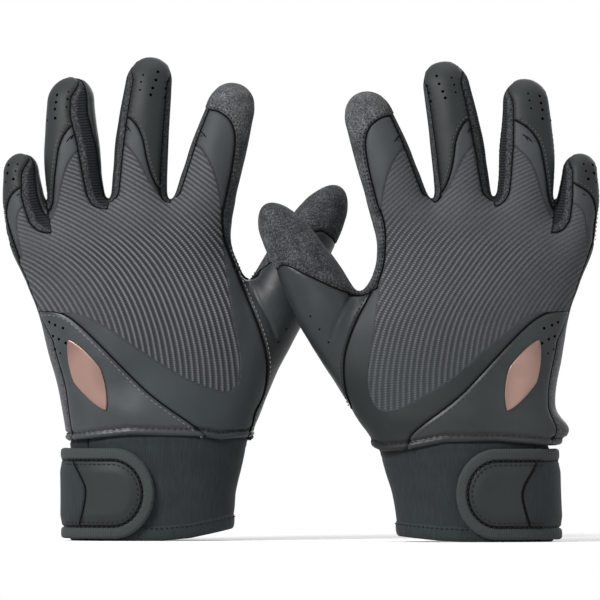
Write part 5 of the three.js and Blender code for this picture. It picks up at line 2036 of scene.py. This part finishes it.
# How far the seam between elastic and patch ends from the tab's edges, its stitches from it
# and how high they lie, and the sewing lines' thickness and depth at the rim and in that seam
ELASTIC_SEAM_ENDS, ELASTIC_STITCH_INSET, ELASTIC_STITCH_LIFT = 6.5, 0.9, 0.15
RIM_CORD, ELASTIC_CORD = dict(radius=0.42, depth=0.8), dict(radius=0.3, depth=0.25)


def cuff_line(cuff, angle, height, offset, under):
    """A line over the cuff, and its directions outwards from a line further under it."""
    line = cuff.point(angle, height, np.full_like(height, offset))
    return line, unit(line - cuff.point(angle, height, np.full_like(height, under)))


def cuff_threads(cuff):
    """Stitch rows of the hem and of the strap, and the strap's sewing lines."""
    first, last = HEM_STITCH_ENDS
    angle = np.linspace(-np.pi + first, np.pi - last, 500)
    height = cuff.hem_rise(angle) + HEM_STITCH_HEIGHT
    line, normals = cuff_line(cuff, angle, height, HEM_STITCH_OFFSET, -3.0)
    yield join(flat_stitches(line, normals, *HEM_STITCHES)), "hem_stitches", "dark_thread", "hand"

    rows, cords = [], []
    for inset in (STRAP_RIM, STRAP_RIM + STRAP_ROW_GAP):
        height, end, _, _ = tab_grid(cuff, 140, inset)
        start = cuff.elastic_line[:, 0].min() - 2
        x = np.concatenate([np.linspace(start, end[0], 60), end[1:-1],
                            np.linspace(end[-1], start, 60)])
        level = np.concatenate([np.full(60, height[0]), height[1:-1], np.full(60, height[-1])])
        angle = cuff.angle(x, level, STRAP_OVER)
        line, normals = cuff_line(cuff, angle, level, STRAP_OVER - 0.2, STRAP_OVER - 4)
        rows += flat_stitches(line, normals, *STRAP_STITCHES)
        if inset == STRAP_RIM:
            cords.append(tube(line - normals * RIM_CORD["depth"], normals, RIM_CORD["radius"]))
    level = np.linspace(STRAP_BOTTOM + ELASTIC_SEAM_ENDS,
                        STRAP_BOTTOM + STRAP_HEIGHT - ELASTIC_SEAM_ENDS, 120)
    x = curve_across(level, cuff.elastic_line) + ELASTIC_STITCH_INSET
    angle = cuff.angle(x, level, STRAP_OVER)
    line, normals = cuff_line(cuff, angle, level, STRAP_OVER + ELASTIC_STITCH_LIFT, 0.0)
    rows += flat_stitches(line, normals, *STRAP_STITCHES)
    seam = line - [ELASTIC_STITCH_INSET, 0, 0] - normals * ELASTIC_CORD["depth"]
    cords.append(tube(seam, normals, ELASTIC_CORD["radius"]))
    yield join(rows), "strap_stitches", "dark_thread", "strap"
    yield join(cords), "strap_sewing", "black_thread", "strap"


# Studio

CAMERA_AWAY = 9.0
FLOOR_REACH = 2.0
FLOOR_FADE = (0.18, 0.55)
FLOOR_GLOW = 0.25
WORLD_LIGHT = 0.24
# Lamps: place, width and height, and power
LIGHTS = {
    "key": ((-0.68, -0.78, 0.78), (0.4, 0.35), 16),
    "fill": ((1.1, -1.1, 0.5), (0.6, 0.8), 2),
    "top": ((0.0, 0.1, 1.3), (1.0, 0.6), 5),
    "back": ((0.5, 1.3, 0.7), (1.2, 0.8), 7),
}
LIGHT_TARGET = Vector((0, 0, 0.1))
SENSOR = 36


def seen_directly(tree):
    """1 for what the camera sees by itself or in a mirror or glass, 0 for what lights."""
    path = tree.nodes.new("ShaderNodeLightPath")
    total = path.outputs["Is Camera Ray"]
    for name in ("Is Glossy Ray", "Is Transmission Ray"):
        add = tree.nodes.new("ShaderNodeMath")
        add.operation = "MAXIMUM"
        tree.links.new(total, add.inputs[0])
        tree.links.new(path.outputs[name], add.inputs[1])
        total = add.outputs[0]
    return total


def make_floor():
    """A pale floor that shows as white, with the gloves' soft shadow on it."""
    mesh = bpy.data.meshes.new("floor")
    corners = (-1, -1), (1, -1), (1, 1), (-1, 1)
    mesh.from_pydata([(x * FLOOR_REACH, y * FLOOR_REACH, 0) for x, y in corners],
                     [], [(0, 1, 2, 3)])
    floor = bpy.data.objects.new("floor", mesh)
    bpy.context.scene.collection.objects.link(floor)
    n = Nodes("floor")
    tone = n.ramp(n.noise(0.02, 2), (0, "#e3e3e3"), (1, "#e6e6e6"))
    for key, value in (("Base Color", tone), ("Roughness", 0.9), ("Specular IOR Level", 0.0)):
        n.connect(n.shader.inputs[key], value)
    glow = n.add("ShaderNodeEmission", {"Color": (1, 1, 1, 1), "Strength": FLOOR_GLOW})
    both = n.add("ShaderNodeAddShader", {0: n.shader.outputs[0], 1: glow.outputs[0]})
    white = n.add("ShaderNodeEmission", {"Color": (1, 1, 1, 1), "Strength": 1.0})
    place = n.add("ShaderNodeTexCoord").outputs["Object"]
    away = n.add("ShaderNodeVectorMath", {0: place}, operation="LENGTH").outputs["Value"]
    far = n.add("ShaderNodeMapRange", {"Value": away, "From Min": FLOOR_FADE[0],
                                       "From Max": FLOOR_FADE[1]},
                interpolation_type="SMOOTHSTEP").outputs["Result"]
    faded = n.add("ShaderNodeMixShader", {0: far, 1: both.outputs[0], 2: white.outputs[0]})
    shown = n.add("ShaderNodeMixShader", {0: seen_directly(n.tree), 1: n.shader.outputs[0],
                                          2: faded.outputs[0]})
    n.tree.links.new(shown.outputs[0], n.tree.nodes["Material Output"].inputs["Surface"])
    mesh.materials.append(n.material)


def make_world():
    world = bpy.data.worlds.new("studio")
    bpy.context.scene.world = world
    world.use_nodes = True
    tree = world.node_tree
    background = tree.nodes["Background"]
    background.inputs["Color"].default_value = (1, 1, 1, 1)
    background.inputs["Strength"].default_value = WORLD_LIGHT
    white = tree.nodes.new("ShaderNodeBackground")
    white.inputs["Color"].default_value = (1, 1, 1, 1)
    white.inputs["Strength"].default_value = 1.0
    mix = tree.nodes.new("ShaderNodeMixShader")
    tree.links.new(seen_directly(tree), mix.inputs[0])
    tree.links.new(background.outputs[0], mix.inputs[1])
    tree.links.new(white.outputs[0], mix.inputs[2])
    tree.links.new(mix.outputs[0], tree.nodes["World Output"].inputs["Surface"])


def area(name, spot, size, power):
    """A flat lamp that shines at the gloves."""
    light = bpy.data.lights.new(name, "AREA")
    light.shape = "RECTANGLE"
    light.size, light.size_y = size
    light.energy = power
    obj = bpy.data.objects.new(name, light)
    obj.location = spot
    obj.rotation_euler = (LIGHT_TARGET - obj.location).to_track_quat("-Z", "Y").to_euler()
    bpy.context.scene.collection.objects.link(obj)


def studio():
    make_floor()
    make_world()
    for name, (spot, size, power) in LIGHTS.items():
        area(name, spot, size, power)
    camera = bpy.data.cameras.new("camera")
    seen = 2 * PHOTO_MIDDLE * PIXEL * MM
    camera.sensor_width = SENSOR
    camera.lens = SENSOR * CAMERA_AWAY / seen
    obj = bpy.data.objects.new("camera", camera)
    middle = (PHOTO_FLOOR - PHOTO_MIDDLE) * PIXEL * MM
    obj.location = (CAMERA_ACROSS * MM, -CAMERA_AWAY, middle)
    obj.rotation_euler = (math.pi / 2, 0, 0)
    bpy.context.scene.collection.objects.link(obj)
    bpy.context.scene.camera = obj
    bpy.context.scene.view_settings.view_transform = "Standard"


for name in SIDES:
    build(name)
studio()
